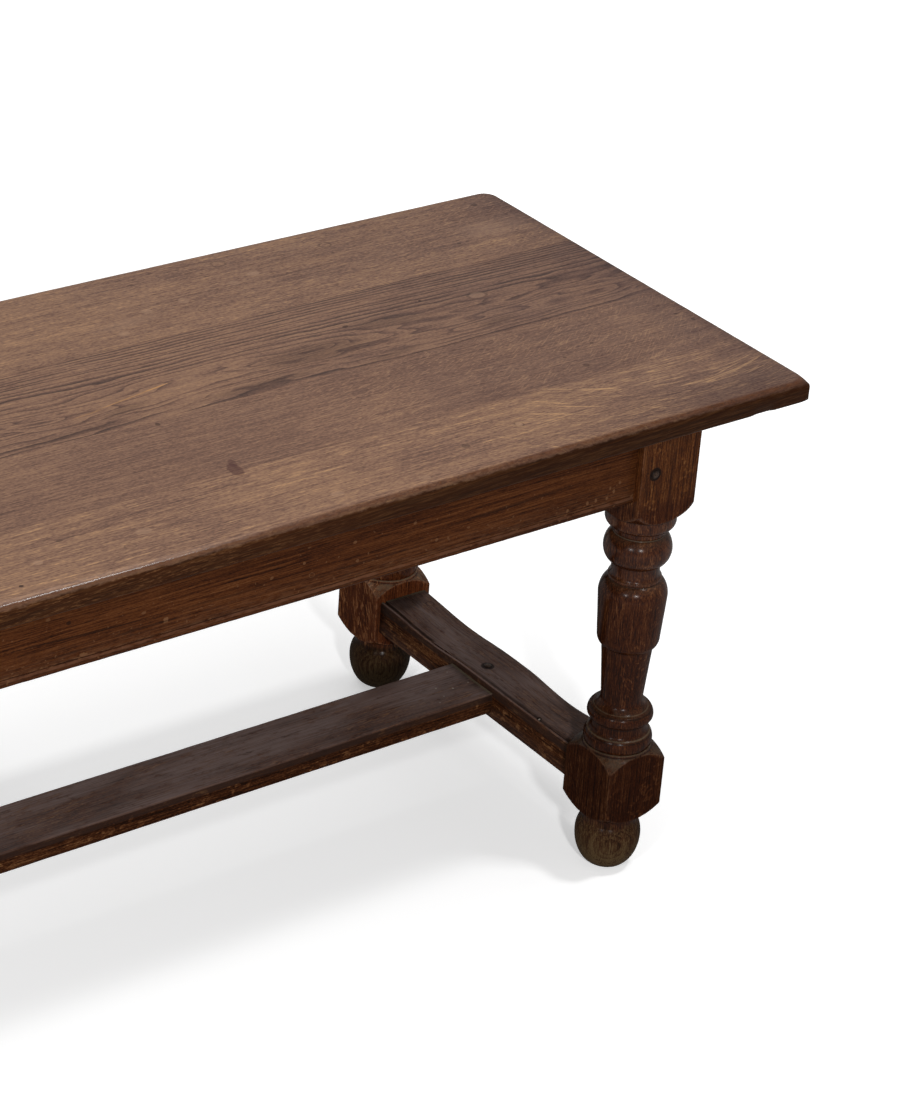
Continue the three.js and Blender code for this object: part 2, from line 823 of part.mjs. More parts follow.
function addPegs() {
  const railPegLine = blockHalf - railPegInset;
  const crossPegLine = blockHalf - crossPegInset;
  for (const { name, sideX, sideY } of corners) {
    const outX = new THREE.Vector3(sideX, 0, 0);
    const outY = new THREE.Vector3(0, sideY, 0);
    const at = (x, y, z) => new THREE.Vector3(sideX * (legX + x), sideY * (legY + y), z);
    addPeg(`long_rail_${name}`, at(-railPegLine, blockHalf, railPegHeight), outY, railPegDepth);
    addPeg(`end_rail_${name}`, at(blockHalf, -railPegLine, railPegHeight), outX, railPegDepth);
    addPeg(`cross_${name}`, at(blockHalf, -crossPegLine, crossMiddle), outX, crossPegDepth);
  }
  for (const { name, side } of ends) {
    const worn = wear((2 * centrePegOffset) / crossLength, centrePegInset / crossWidth);
    const x = side * (legX - crossWidth / 2 + centrePegInset);
    const surface = new THREE.Vector3(x, side * centrePegOffset, crossTop - worn);
    addPeg(`centre_${name}`, surface, new THREE.Vector3(0, 0, 1), centrePegDepth - worn);
  }
}

addTop();
addLegs();
addRails();
addStretchers();
addPegs();

export default table;
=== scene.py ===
"""A joined oak coffee table in looks: fine turning, worn mouldings, oak grain and wax.

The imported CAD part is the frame. Legs, top boards, rails, stretchers and pegs are rebuilt here
from the same outlines with more detail, in the places that the CAD nodes give. Outlines are
written in millimetres. The front is -Y and the right end is +X.
"""

import math
from functools import reduce

import bmesh
import bpy
from mathutils import Matrix, Vector, noise


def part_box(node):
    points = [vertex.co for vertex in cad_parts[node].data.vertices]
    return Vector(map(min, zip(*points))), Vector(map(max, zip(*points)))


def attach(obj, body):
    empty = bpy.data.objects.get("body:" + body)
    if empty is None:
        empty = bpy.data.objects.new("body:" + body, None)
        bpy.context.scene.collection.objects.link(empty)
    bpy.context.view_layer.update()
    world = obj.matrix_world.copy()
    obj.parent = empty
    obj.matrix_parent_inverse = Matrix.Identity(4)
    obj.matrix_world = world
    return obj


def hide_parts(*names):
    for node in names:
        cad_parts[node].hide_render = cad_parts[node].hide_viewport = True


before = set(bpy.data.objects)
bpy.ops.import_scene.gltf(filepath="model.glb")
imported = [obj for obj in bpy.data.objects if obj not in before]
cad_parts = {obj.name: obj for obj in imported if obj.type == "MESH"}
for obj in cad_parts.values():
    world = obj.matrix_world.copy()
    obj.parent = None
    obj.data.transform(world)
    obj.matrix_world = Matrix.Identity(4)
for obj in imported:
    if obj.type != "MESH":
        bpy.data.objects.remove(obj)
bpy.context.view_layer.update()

MM = 0.001
QUARTER = math.pi / 2

# Camera, from the photograph: where it stands and the directions of its frame, in the row frame
CAMERA_PLACE = (-1.2504, -2.1145, 1.7318)
CAMERA_RIGHT = (0.80645, -0.58756, 0.06642)
CAMERA_UP = (0.23775, 0.42506, 0.87338)
FOCAL_PIXELS = 3371.06
FRAME_HEIGHT_PIXELS = 1108
SENSOR = 36.0

# Legs: square blocks, and how the outline of the turning is softened and divided
BLOCK_HALF = 31.75
CORNER_REACH = BLOCK_HALF * math.sqrt(2)
LEG_HEIGHT = 461.2
PAST_CORNER = CORNER_REACH + 6.0
TURNING_CAP = CORNER_REACH + 2.5
ARRIS_RADIUS = 1.1
OUTLINE_STEP = 0.3
OUTLINE_SOFTNESS = 0.38
FINE_SOFTNESS = 1.5
COARSE_SOFTNESS = 4.0
OUTLINE_TOLERANCE = 0.018
OUTLINE_LONGEST = 7.0
OCTANT_COLUMNS = 14
CREASE_COLUMN = 8
CREASE_LEAST = math.radians(8)
CREASE_FADE = 9.0
CORNER_RUB = (math.radians(43.6), math.radians(44.8))
UNEVEN_SIZE = 14.0
UNEVEN_TURNED = 0.16
UNEVEN_FLAT = 0.05

# The turning from the floor up, as in the CAD part: "to" a radius over a rise, an "arc" to a radius
# over a rise between the ways that its surface faces in degrees, or a "swell" to its widest and
# its end radius over a rise, with the share of the rise where it is widest. Past the corners of
# the blocks their own faces rule.
FOOT = (("to", 9.5), ("arc", 30.3, 33, -90, 0, 24), ("arc", 25.6, 16, 0, 40), ("to", 25.6, 7.4))
LOWER_BLOCK = (
    ("arc", CORNER_REACH, 13.6, -60, -45),
    ("to", PAST_CORNER),
    ("to", PAST_CORNER, 47.4),
    ("to", CORNER_REACH),
    ("arc", 31.8, 10.8, 40, 60),
    ("to", 31.3, 2.7),
)
RINGS = (
    ("to", 29.9),
    ("swell", 31.2, 28.4, 13, 0.42, -60, 65),
    ("arc", 25.3, 5.95, 80, 0),
    ("to", 25.3, 5.95),
    ("to", 26.2),
    ("swell", 30.1, 27.4, 11.8, 0.42, -70, 60),
    ("arc", 18.9, 9.6, 80, 5),
)
SHAFT_TOP_RADIUS = 23.2
ABOVE_SHAFT = 229.5
VASE = (("arc", 28.1, 7.7, -75, -10), ("to", 31.0, 44.8), ("arc", 24.8, 14.4, 5, 70))
NECK = (
    ("to", 23.3, 0.9),
    ("to", 24.1, 0.9),
    ("to", 24.1, 2.2),
    ("arc", 21.7, 6.8, 80, 0),
    ("to", 21.7, 7),
)
BALL = (("to", 23.8), ("swell", 30.7, 23.8, 29, 0.48, -62, 62))
ASTRAGAL = (
    ("to", 23.3, 0.9),
    ("to", 24.3, 0.9),
    ("to", 25.4, 5),
    ("swell", 31.7, 31.2, 14.6, 0.52, -75, 35),
)
TOP_BLOCK = (("arc", CORNER_REACH, 13.6, -60, -20), ("to", PAST_CORNER))

# Top. A round is its width and its height. The plan's corners grow or shrink as the edge goes in.
TOP_THICKNESS = 20.5
TOP_BACK_CORNER = 14.5
TOP_FRONT_CORNER = 3.0
TOP_CORNER_GROWTH = 17.0
TOP_CORNER_POWER = 0.4
TOP_BACK_CORNER_GROWTH = -0.6
TOP_FRONT_ROUND = (10.0, 9.0)
TOP_SIDE_ROUND = (5.0, 5.0)
TOP_UNDER_ROUND = (2.2, 2.2)
TOP_CORNER_STEPS = 10
TOP_ROUND_STEPS = 10
TOP_UNDER_STEPS = 4
TOP_EDGE_STATION = 3.5
SEAM_EASE = 0.35
SEAM_GAP = 0.1
CHIP_X = 557.0
CHIP_HALF = 14.0
CHIP_DEPTH = 2.6
CHIP_RISE = 3.2

# Rails
RAIL_THICKNESS = 22.0
RAIL_RECESS = 8.3
RAIL_HEIGHT = 71.0
RAIL_BEAD = 7.0
RAIL_BEAD_UNDER = 2.4
RAIL_BEAD_OVER = 2.6
RAIL_ROUND_STEPS = 8
RAIL_QUIRK = 1.1
RAIL_QUIRK_DEPTH = 1.6
RAIL_ARRIS = 0.8
RAIL_STATION = 6.0

# Cross stretchers
CROSS_WIDTH = 53.4
CROSS_BOTTOM = 79.7
CROSS_HEIGHT = 33.3
CROSS_BEAD = 4.4
CROSS_BEAD_DROP = 3.0
CROSS_QUIRK = 1.8
CROSS_QUIRK_DEPTH = 2.2
CROSS_ARRIS = 2.6
CROSS_UNDER_ARRIS = 1.2
CROSS_STATIONS = 170
FOOT_WEAR = 2.2
INNER_WEAR = 0.3
WEAR_FADE_POWER = 6

# The quirk by the bead: share of the half length, and how deep and how wide it still is there
QUIRK_WEAR = (
    (-1.0, 1.25, 2.0),
    (-0.5, 1.1, 1.7),
    (-0.2, 0.7, 1.0),
    (0.24, 0.5, 0.9),
    (0.32, 0.1, 0.8),
    (0.42, 0.15, 0.8),
    (0.50, 0.85, 1.0),
    (1.0, 1.0, 1.1),
)

# Where feet hollowed the cross stretchers: middle, reach, depth, and what is left at the inner edge
HOLLOWS = ((0.5, 0.45, 1.15, 1.0), (-0.54, 0.44, 2.0, 0.0))

# Centre stretcher
CENTRE_ARRIS = 1.4
CENTRE_STATIONS = 150
CENTRE_DIP = 0.5

# Pegs and screws
PEG_RADIUS = 4.1
PEG_DOME = 1.3
PEG_TAPER = 0.7
PEG_POINT = 2.1
PEG_SIDES = 22
SCREW_HEAD = 4.3
SCREW_SHANK = 2.1
SCREW_SIDES = 28
SLOT_HALF = 0.55
SLOT_DEPTH = 0.9
SLOT_MARGIN = 0.35
BUTTON_TONGUE = 7.0
BUTTON_EASE = 0.5


def unit_box(node):
    """The lowest and highest corners of a CAD node, in millimetres."""
    low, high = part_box(node)
    return Vector(low) / MM, Vector(high) / MM


TOP_HALF_LENGTH, TOP_HALF_WIDTH, TOP_HEIGHT = unit_box("top_board_back")[1]
TOP_UNDERSIDE = TOP_HEIGHT - TOP_THICKNESS
LEG_LOW, LEG_HIGH = unit_box("leg_front_right")
LEG_MIDDLE = (LEG_LOW + LEG_HIGH) / 2
LEG_X = LEG_MIDDLE.x
LEG_Y = -LEG_MIDDLE.y
RAIL_FACE_X = LEG_X + BLOCK_HALF - RAIL_RECESS
RAIL_FACE_Y = LEG_Y + BLOCK_HALF - RAIL_RECESS
RAIL_BOTTOM = LEG_HEIGHT - RAIL_HEIGHT
LONG_RAIL_HALF = LEG_X - BLOCK_HALF
END_RAIL_HALF = LEG_Y - BLOCK_HALF
CROSS_TOP = CROSS_BOTTOM + CROSS_HEIGHT
CENTRE_HALF = LEG_X - CROSS_WIDTH / 2


def smooth_step(low, high, value):
    share = min(1.0, max(0.0, (value - low) / (high - low)))
    return share * share * (3 - 2 * share)


def wobble(place, size, seed=0.0):
    """Smooth noise from -1 to 1 with features of that size in millimetres."""
    return noise.noise(Vector(place) / size + Vector((seed * 7.31, seed * 3.17, seed * 5.77)))


def quarter_turn(steps):
    """The sine and cosine at even steps of a quarter turn."""
    angles = [QUARTER * step / steps for step in range(steps + 1)]
    return [(math.sin(angle), math.cos(angle)) for angle in angles]


def circle(radius, height, sides):
    turns = [2 * math.pi * i / sides for i in range(sides)]
    return [(radius * math.cos(turn), radius * math.sin(turn), height) for turn in turns]


def smooth_shading(mesh, sharp_angle):
    mesh.shade_smooth()
    mesh.set_sharp_from_angle(angle=math.radians(sharp_angle))


def mesh_object(name, points, faces, finish=None, sharp_angle=40):
    """A piece from points in millimetres. finish has three marks for each point: how hollow it is, or
    on rails and stretchers whether it lies in the quirk, which takes painted shade; its rub; and its
    flatness on legs, or else dirt at the ends, with painted shadow under the table top on rails.
    """
    mesh = bpy.data.meshes.new(name)
    mesh.from_pydata([tuple(p * MM for p in point) for point in points], [], faces)
    mesh.validate()
    if finish is not None:
        layer = mesh.attributes.new("finish", "FLOAT_COLOR", "POINT")
        for item, marks in zip(layer.data, finish):
            item.color = (*marks, 1.0)
    made = bmesh.new()
    made.from_mesh(mesh)
    bmesh.ops.recalc_face_normals(made, faces=made.faces)
    made.to_mesh(mesh)
    made.free()
    smooth_shading(mesh, sharp_angle)
    piece = bpy.data.objects.new(name, mesh)
    bpy.context.scene.collection.objects.link(piece)
    return piece


def skin(rings):
    """Points and faces over rings of equal length, with a cap on the first and on the last."""
    size = len(rings[0])
    last = (len(rings) - 1) * size
    faces = []
    for start in range(0, last, size):
        for i in range(size):
            a = start + i
            b = start + (i + 1) % size
            faces.append((a, b, b + size, a + size))
    faces.append(tuple(reversed(range(size))))
    faces.append(tuple(range(last, last + size)))
    return [point for ring in rings for point in ring], faces


def lofted(name, rings, sharp_angle):
    """A piece skinned over rings of points, each point with its finish."""
    rings = [list(zip(*ring)) for ring in rings]
    finish = [marks for _, all_marks in rings for marks in all_marks]
    return mesh_object(name, *skin([points for points, _ in rings]), finish, sharp_angle)


def ease(piece, name, width, least_angle=None):
    """Soften the edges of a piece, or only those sharper than an angle."""
    bevel = piece.modifiers.new(name, "BEVEL")
    bevel.limit_method = "ANGLE"
    if least_angle:
        bevel.angle_limit = math.radians(least_angle)
    bevel.width = width * MM
    bevel.segments = 2


def dress(piece, material, stands_for=()):
    piece.data.materials.clear()
    piece.data.materials.append(material)
    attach(piece, "root")
    if stands_for:
        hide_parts(*stands_for)


class TurnedOutline:
    """A turned outline that grows upwards, as points of radius and height."""

    def __init__(self):
        self.points = [(0.0, 0.0)]
        self.height = 0.0

    def to(self, radius, rise=0.0):
        self.height += rise
        self.points.append((radius, self.height))

    def arc(self, radius, rise, start_facing, end_facing, steps=12):
        start_radius, start_height = self.points[-1]
        start = math.radians(start_facing)
        end = math.radians(end_facing)
        for step in range(1, steps + 1):
            angle = start + (end - start) * step / steps
            across = (math.cos(start) - math.cos(angle)) / (math.cos(start) - math.cos(end))
            up = (math.sin(angle) - math.sin(start)) / (math.sin(end) - math.sin(start))
            here = (start_radius + (radius - start_radius) * across, start_height + rise * up)
            self.points.append(here)
        self.height = start_height + rise

    def swell(self, widest, end, rise, share, start_facing, end_facing):
        self.arc(widest, rise * share, start_facing, 0)
        self.arc(end, rise * (1 - share), 0, end_facing)

    def follow(self, *members):
        """Make the moves of some members, one after the other."""
        moves = {"to": self.to, "arc": self.arc, "swell": self.swell}
        for member in members:
            for move, *sizes in member:
                moves[move](*sizes)


def leg_outline():
    """The whole leg from the floor to its top."""
    o = TurnedOutline()
    o.follow(FOOT, LOWER_BLOCK, RINGS)
    o.to(SHAFT_TOP_RADIUS, LEG_HEIGHT - ABOVE_SHAFT - o.height)
    o.follow(VASE, NECK, BALL, ASTRAGAL, TOP_BLOCK)
    o.to(PAST_CORNER, LEG_HEIGHT - o.height)
    return o.points[1:]


def evenly(points, step):
    """The same line with points at even steps of its length."""
    out = [points[0]]
    for (r0, z0), (r1, z1) in zip(points, points[1:]):
        count = max(1, round(math.hypot(r1 - r0, z1 - z0) / step))
        for i in range(1, count + 1):
            out.append((r0 + (r1 - r0) * i / count, z0 + (z1 - z0) * i / count))
    return out


def softened(points, reach):
    """The line with its corners worn: each point moves to the weighted middle of those near it."""
    span = int(3 * reach / OUTLINE_STEP)
    weights = [math.exp(-0.5 * (k * OUTLINE_STEP / reach) ** 2) for k in range(-span, span + 1)]
    total = sum(weights)
    out = list(points)
    for i in range(span, len(points) - span):
        near = points[i - span : i + span + 1]
        radius = sum(w * p[0] for w, p in zip(weights, near)) / total
        height = sum(w * p[1] for w, p in zip(weights, near)) / total
        out[i] = (radius, height)
    return out


def thinned(points, tolerance, longest):
    """The places of the points to keep, without those that lie on the line between their
    neighbours."""
    keep = [0]
    i = 0
    while i < len(points) - 1:
        j = i + 1
        while j + 1 < len(points):
            (r0, z0), (r1, z1) = points[i], points[j + 1]
            length = math.hypot(r1 - r0, z1 - z0)
            if length > longest:
                break
            off = max(
                abs((r1 - r0) * (z0 - z) - (r0 - r) * (z1 - z0)) / max(length, 1e-6)
                for r, z in points[i + 1 : j + 1]
            )
            if off > tolerance:
                break
            j += 1
        keep.append(j)
        i = j
    return keep


def turn_in():
    """The angle from the middle of a block's face at which its rounded corner starts."""
    return math.atan2(BLOCK_HALF - ARRIS_RADIUS, BLOCK_HALF)


def square_radius(angle):
    """How far a face of the block is from the axis at an angle from the middle of the face."""
    if angle <= turn_in():
        return BLOCK_HALF / math.cos(angle)
    middle = BLOCK_HALF - ARRIS_RADIUS
    along = middle * (math.cos(angle) + math.sin(angle))
    return along + math.sqrt(max(0.0, along * along - 2 * middle * middle + ARRIS_RADIUS**2))


def leg_rows():
    """Rows of the leg: radius of the turning, height, and how hollow or proud the line is against
    a finely and a coarsely softened one."""
    capped = [(min(r, TURNING_CAP), z) for r, z in evenly(leg_outline(), OUTLINE_STEP)]
    soft = softened(capped, OUTLINE_SOFTNESS)
    fine = softened(capped, FINE_SOFTNESS)
    coarse = softened(capped, COARSE_SOFTNESS)
    rows = []
    for i in thinned(soft, OUTLINE_TOLERANCE, OUTLINE_LONGEST):
        radius, height = soft[i]
        rows.append((radius, height, fine[i][0] - radius, coarse[i][0] - radius))
    return rows


def crease_angle(radius, from_block):
    """The angle at which the turning leaves the flat face, which one column of points follows."""
    if radius > BLOCK_HALF:
        return min(turn_in(), max(CREASE_LEAST, math.acos(BLOCK_HALF / radius)))
    even = math.pi / 4 * CREASE_COLUMN / OCTANT_COLUMNS
    return CREASE_LEAST + (even - CREASE_LEAST) * smooth_step(0, CREASE_FADE, from_block)


def ring_angles(crease):
    """Angles round the leg with the block's creases and corners in them, and how far each is
    from the middle of its face."""
    rest = OCTANT_COLUMNS - CREASE_COLUMN
    octant = [crease * i / CREASE_COLUMN for i in range(CREASE_COLUMN)]
    octant += [crease + (math.pi / 4 - crease) * i / rest for i in range(rest + 1)]
    out = []
    for face in range(4):
        out += [(face * QUARTER + angle, angle) for angle in octant[:-1]]
        out += [((face + 1) * QUARTER - angle, angle) for angle in reversed(octant[1:])]
    return out


def leg_finish(radius, limit, from_middle, fine, coarse):
    """How hollow, rubbed and flat a point is: hollow places turn dusty and take painted shade, and
    rub goes on proud rings and arrises.
    """
    flat = radius > limit
    corner = smooth_step(*CORNER_RUB, from_middle) if flat else 0.0
    crease = smooth_step(0.9, 0.0, abs(radius - limit)) if radius > 31.0 else 0.0
    rub = max(corner, crease * smooth_step(31.2, 31.9, limit))
    if flat:
        return 0.0, min(1.0, rub), 1.0
    hollowness = smooth_step(0.1, 0.9, fine) * 0.8 + smooth_step(0.4, 2.2, coarse) * 0.5
    return min(1.0, hollowness), min(1.0, max(smooth_step(0.12, 0.5, -fine), rub)), 0.0


def leg_rings(seed):
    rows = leg_rows()
    block_heights = [row[1] for row in rows if row[0] > BLOCK_HALF]
    for radius, height, fine, coarse in rows:
        from_block = min(abs(height - z) for z in block_heights)
        ring = []
        for angle, from_middle in ring_angles(crease_angle(radius, from_block)):
            limit = square_radius(from_middle)
            place = (math.cos(angle) * 30, math.sin(angle) * 30, height)
            uneven = UNEVEN_FLAT if radius > limit else UNEVEN_TURNED
            across = min(radius, limit) + uneven * (wobble(place, UNEVEN_SIZE, seed) - 0.5)
            point = (across * math.cos(angle), across * math.sin(angle), height)
            ring.append((point, leg_finish(radius, limit, from_middle, fine, coarse)))
        yield ring


def build_legs():
    nodes = ("leg_front_right", "leg_back_right", "leg_front_left", "leg_back_left")
    for seed, node in enumerate(nodes):
        low, high = unit_box(node)
        leg = lofted("turned_" + node, leg_rings(seed), sharp_angle=38)
        origin = Vector(((low.x + high.x) / 2, (low.y + high.y) / 2, 0))
        leg.location = origin * MM
        bpy.context.view_layer.update()
        dress(leg, leg_oak(node, seed, origin), (node,))


def corner_radius(at_front, inset):
    """The radius of a corner of the top's plan, where its edge has gone in by an inset."""
    if at_front:
        share = inset / TOP_FRONT_ROUND[0]
        return TOP_FRONT_CORNER + TOP_CORNER_GROWTH * share**TOP_CORNER_POWER
    return TOP_BACK_CORNER + TOP_BACK_CORNER_GROWTH * inset


def corner_arc(quarter, front, rest):
    """One corner of the top's plan. front and rest are the inset and height of the front edge and
    of the other three."""
    at_front = quarter in (2, 3)
    long_edge = front if at_front else rest
    radius = corner_radius(at_front, max(long_edge[0], rest[0]))
    side_x = 1 if quarter in (0, 3) else -1
    side_y = -1 if at_front else 1
    centre_x = side_x * (TOP_HALF_LENGTH - rest[0] - radius)
    centre_y = side_y * (TOP_HALF_WIDTH - long_edge[0] - radius)
    arc = []
    for step in range(TOP_CORNER_STEPS + 1):
        turned = step / TOP_CORNER_STEPS
        angle = (quarter + turned) * QUARTER
        long_share = turned if quarter % 2 == 0 else 1 - turned
        height = rest[1] + (long_edge[1] - rest[1]) * long_share
        arc.append((centre_x + radius * math.cos(angle), centre_y + radius * math.sin(angle), height))
    return arc


def top_ring(front, rest):
    """The top's plan at one level of its edge, with points along its straight sides too."""
    arcs = [corner_arc(quarter, front, rest) for quarter in range(4)]
    ring = []
    for quarter, arc in enumerate(arcs):
        start = Vector(arc[-1])
        end = Vector(arcs[(quarter + 1) % 4][0])
        side = TOP_HALF_WIDTH if quarter % 2 else TOP_HALF_LENGTH
        count = round(2 * side / TOP_EDGE_STATION)
        ring += arc + [tuple(start.lerp(end, i / count)) for i in range(1, count)]
    return ring


def chip_depth(x, height):
    """How deep the splintered chip under the front edge is."""
    along = smooth_step(CHIP_HALF, 0.4 * CHIP_HALF, abs(x - CHIP_X))
    ragged = 0.75 + 0.5 * wobble((x, 0, height), 5, 19)
    return CHIP_DEPTH * along * ragged * smooth_step(CHIP_RISE, 0.0, height - TOP_UNDERSIDE)


def worn_edge(point, share):
    """A point of the moulded edge, rubbed in a little by use. share is 0 under the edge and 1 on
    the flat of the top."""
    x, y, z = point
    depth = 0.22 + 0.22 * wobble((x, y, 0), 26, 3) + 0.12 * wobble((x, y, z), 7, 5)
    depth *= math.sin(math.pi * share) ** 0.5 if 0 < share < 1 else 0.0
    if abs(x) > TOP_HALF_LENGTH - TOP_SIDE_ROUND[0]:
        return (x - math.copysign(depth, x), y, z)
    if y < 0:
        depth += chip_depth(x, z)
    return (x, y - math.copysign(depth, y), z)


def quarter_round(size, steps):
    """Insets and drops of a worn arris, from the upright face to the flat."""
    return [(size[0] * (1 - c), size[1] * (1 - s)) for s, c in quarter_turn(steps)]


def top_slab():
    """Rings of the whole top from its underside to its upper face."""
    under = reversed(quarter_round(TOP_UNDER_ROUND, TOP_UNDER_STEPS))
    levels = [((inset, TOP_UNDERSIDE + drop),) * 2 for inset, drop in under]
    front = quarter_round(TOP_FRONT_ROUND, TOP_ROUND_STEPS)
    rest = quarter_round(TOP_SIDE_ROUND, TOP_ROUND_STEPS)
    for a, b in zip(front, rest):
        levels.append(((a[0], TOP_HEIGHT - a[1]), (b[0], TOP_HEIGHT - b[1])))
    rings = []
    for i, level in enumerate(levels):
        share = i / (len(levels) - 1)
        rings.append([worn_edge(point, share) for point in top_ring(*level)])
    return rings


def cut_away(mesh, cuts):
    """Cut off what lies past some places in y, and close the cuts. A cut is its place and the way
    that it faces."""
    made = bmesh.new()
    made.from_mesh(mesh)
    for place, way in cuts:
        found = bmesh.ops.bisect_plane(
            made,
            geom=made.verts[:] + made.edges[:] + made.faces[:],
            plane_co=(0, place * MM, 0),
            plane_no=(0, way, 0),
            clear_outer=True,
        )
        edges = [e for e in found["geom_cut"] if isinstance(e, bmesh.types.BMEdge)]
        bmesh.ops.contextual_create(made, geom=edges)
        bmesh.ops.recalc_face_normals(made, faces=made.faces)
    made.to_mesh(mesh)
    made.free()


def build_top():
    """Every board is cut from the same moulded slab, so that the moulding runs on."""
    points, faces = skin(top_slab())
    boards = [f"top_board_{part}" for part in ("front", "front_inner", "back_inner", "back")]
    fronts = [unit_box(node)[0].y for node in boards]
    for i, node in enumerate(boards):
        piece = mesh_object("moulded_" + node, points, faces)
        cuts = [(fronts[i], -1)] if i > 0 else []
        if i < len(boards) - 1:
            cuts.append((fronts[i + 1] - SEAM_GAP, 1))
        cut_away(piece.data, cuts)
        smooth_shading(piece.data, sharp_angle=50)
        ease(piece, "eased seam", SEAM_EASE, 60)
        dress(piece, top_oak(node, i), (node,))


def rail_section(shift):
    """A rail's section from its outer face at 0: across towards the inside, and up from its foot.
    The bead along the foot is scratched by hand, so it wanders by a shift."""
    bead = RAIL_BEAD + shift
    turns = quarter_turn(RAIL_ROUND_STEPS)
    points = [(RAIL_BEAD_UNDER * (1 - s), RAIL_BEAD_UNDER * (1 - c)) for s, c in turns]
    points += [(RAIL_QUIRK_DEPTH * (1 - c), bead - RAIL_BEAD_OVER * (1 - s)) for s, c in turns[1:]]
    quirk_top = bead + RAIL_QUIRK
    face = quirk_top + 0.7
    points += [
        (RAIL_QUIRK_DEPTH, bead + RAIL_QUIRK * 0.3),
        (0.45, quirk_top - 0.15),
        (0.1, quirk_top + 0.2),
    ]
    points += [(0.0, face + (RAIL_HEIGHT - face) * share) for share in (0.0, 0.3, 0.55, 0.8, 1.0)]
    return points + [
        (RAIL_THICKNESS, RAIL_HEIGHT),
        (RAIL_THICKNESS, RAIL_ARRIS),
        (RAIL_THICKNESS - RAIL_ARRIS, 0.0),
    ]


def rail_wear(along, across, up, seed):
    """How far a point near the outer face of a rail is worn, and how much of that is roughness."""
    lower = smooth_step(12, 0, up)
    rough = wobble((along, across, up), 9, seed) * 0.22 * lower
    wave = wobble((along, 0, up), 60, seed + 4) * 0.18 if across < 1 else 0.0
    return max(0.0, 0.1 + rough + wave), max(0.0, rough)


def rail_finish(across, up, near_end):
    """Painted shade and dirt in the quirk, rub on the bead and under the rail, and dirt at its ends
    with painted shadow along its top, under the table top.
    """
    quirk = 1.0 if across > 1.2 and 3 < up < 9 else 0.0
    rub = smooth_step(3.6, 4.8, up) * smooth_step(9.6, 8.6, up) if across < 1.2 else 0.0
    under = smooth_step(2.5, 0.0, up) if across < 3 else 0.0
    return quirk, max(rub, under), max(near_end, smooth_step(64, 71, up))


def rail_rings(half_length, place, seed):
    """Rings along a rail. place turns (along, across, up) into a point."""
    count = round(2 * half_length / RAIL_STATION)
    for i in range(count + 1):
        along = -half_length + 2 * half_length * i / count
        shift = 0.3 * wobble((along, 0, 0), 45, seed) + 0.12 * wobble((along, 9, 0), 11, seed)
        near_end = smooth_step(14, 0, half_length - abs(along))
        ring = []
        for across, up in rail_section(shift):
            worn, rough = rail_wear(along, across, up, seed) if across < 3 else (0.0, 0.0)
            point = place(along, across + worn, max(0.0, up + rough * 0.5))
            ring.append((point, rail_finish(across, up, near_end)))
        yield ring


def build_rails():
    def along_x(side):
        return lambda a, b, c: (a, side * (RAIL_FACE_Y - b), RAIL_BOTTOM + c)

    def along_y(side):
        return lambda a, b, c: (side * (RAIL_FACE_X - b), a, RAIL_BOTTOM + c)

    long_oak = rail_oak("long", 0)
    end_oak = rail_oak("end", 1)
    plans = (
        ("rail_front", LONG_RAIL_HALF, along_x(-1), long_oak),
        ("rail_back", LONG_RAIL_HALF, along_x(1), long_oak),
        ("rail_left", END_RAIL_HALF, along_y(-1), end_oak),
        ("rail_right", END_RAIL_HALF, along_y(1), end_oak),
    )
    for seed, (node, half, place, material) in enumerate(plans):
        piece = lofted("beaded_" + node, rail_rings(half, place, seed + 11), sharp_angle=45)
        dress(piece, material, (node,))


def foot_wear(length_share, width_share):
    """How far a cross stretcher is worn down, at a share of its half length and a share of its
    width from the inner edge."""
    even = FOOT_WEAR * (1 - abs(length_share) ** WEAR_FADE_POWER)
    total = even * (INNER_WEAR + (1 - INNER_WEAR) * width_share)
    for middle, reach, depth, inner in HOLLOWS:
        away = min(1.0, abs(length_share - middle) / reach)
        along = math.cos(away * QUARTER) ** 2
        total += FOOT_WEAR * depth * along * (inner + (1 - inner) * width_share)
    return total


def quirk_wear(share):
    """How deep and how wide the quirk by the bead still is, at a share of the half length."""
    for (low, depth_a, width_a), (high, depth_b, width_b) in zip(QUIRK_WEAR, QUIRK_WEAR[1:]):
        if share <= high:
            turn = smooth_step(low, high, share)
            return depth_a + (depth_b - depth_a) * turn, width_a + (width_b - width_a) * turn
    return QUIRK_WEAR[-1][1:]


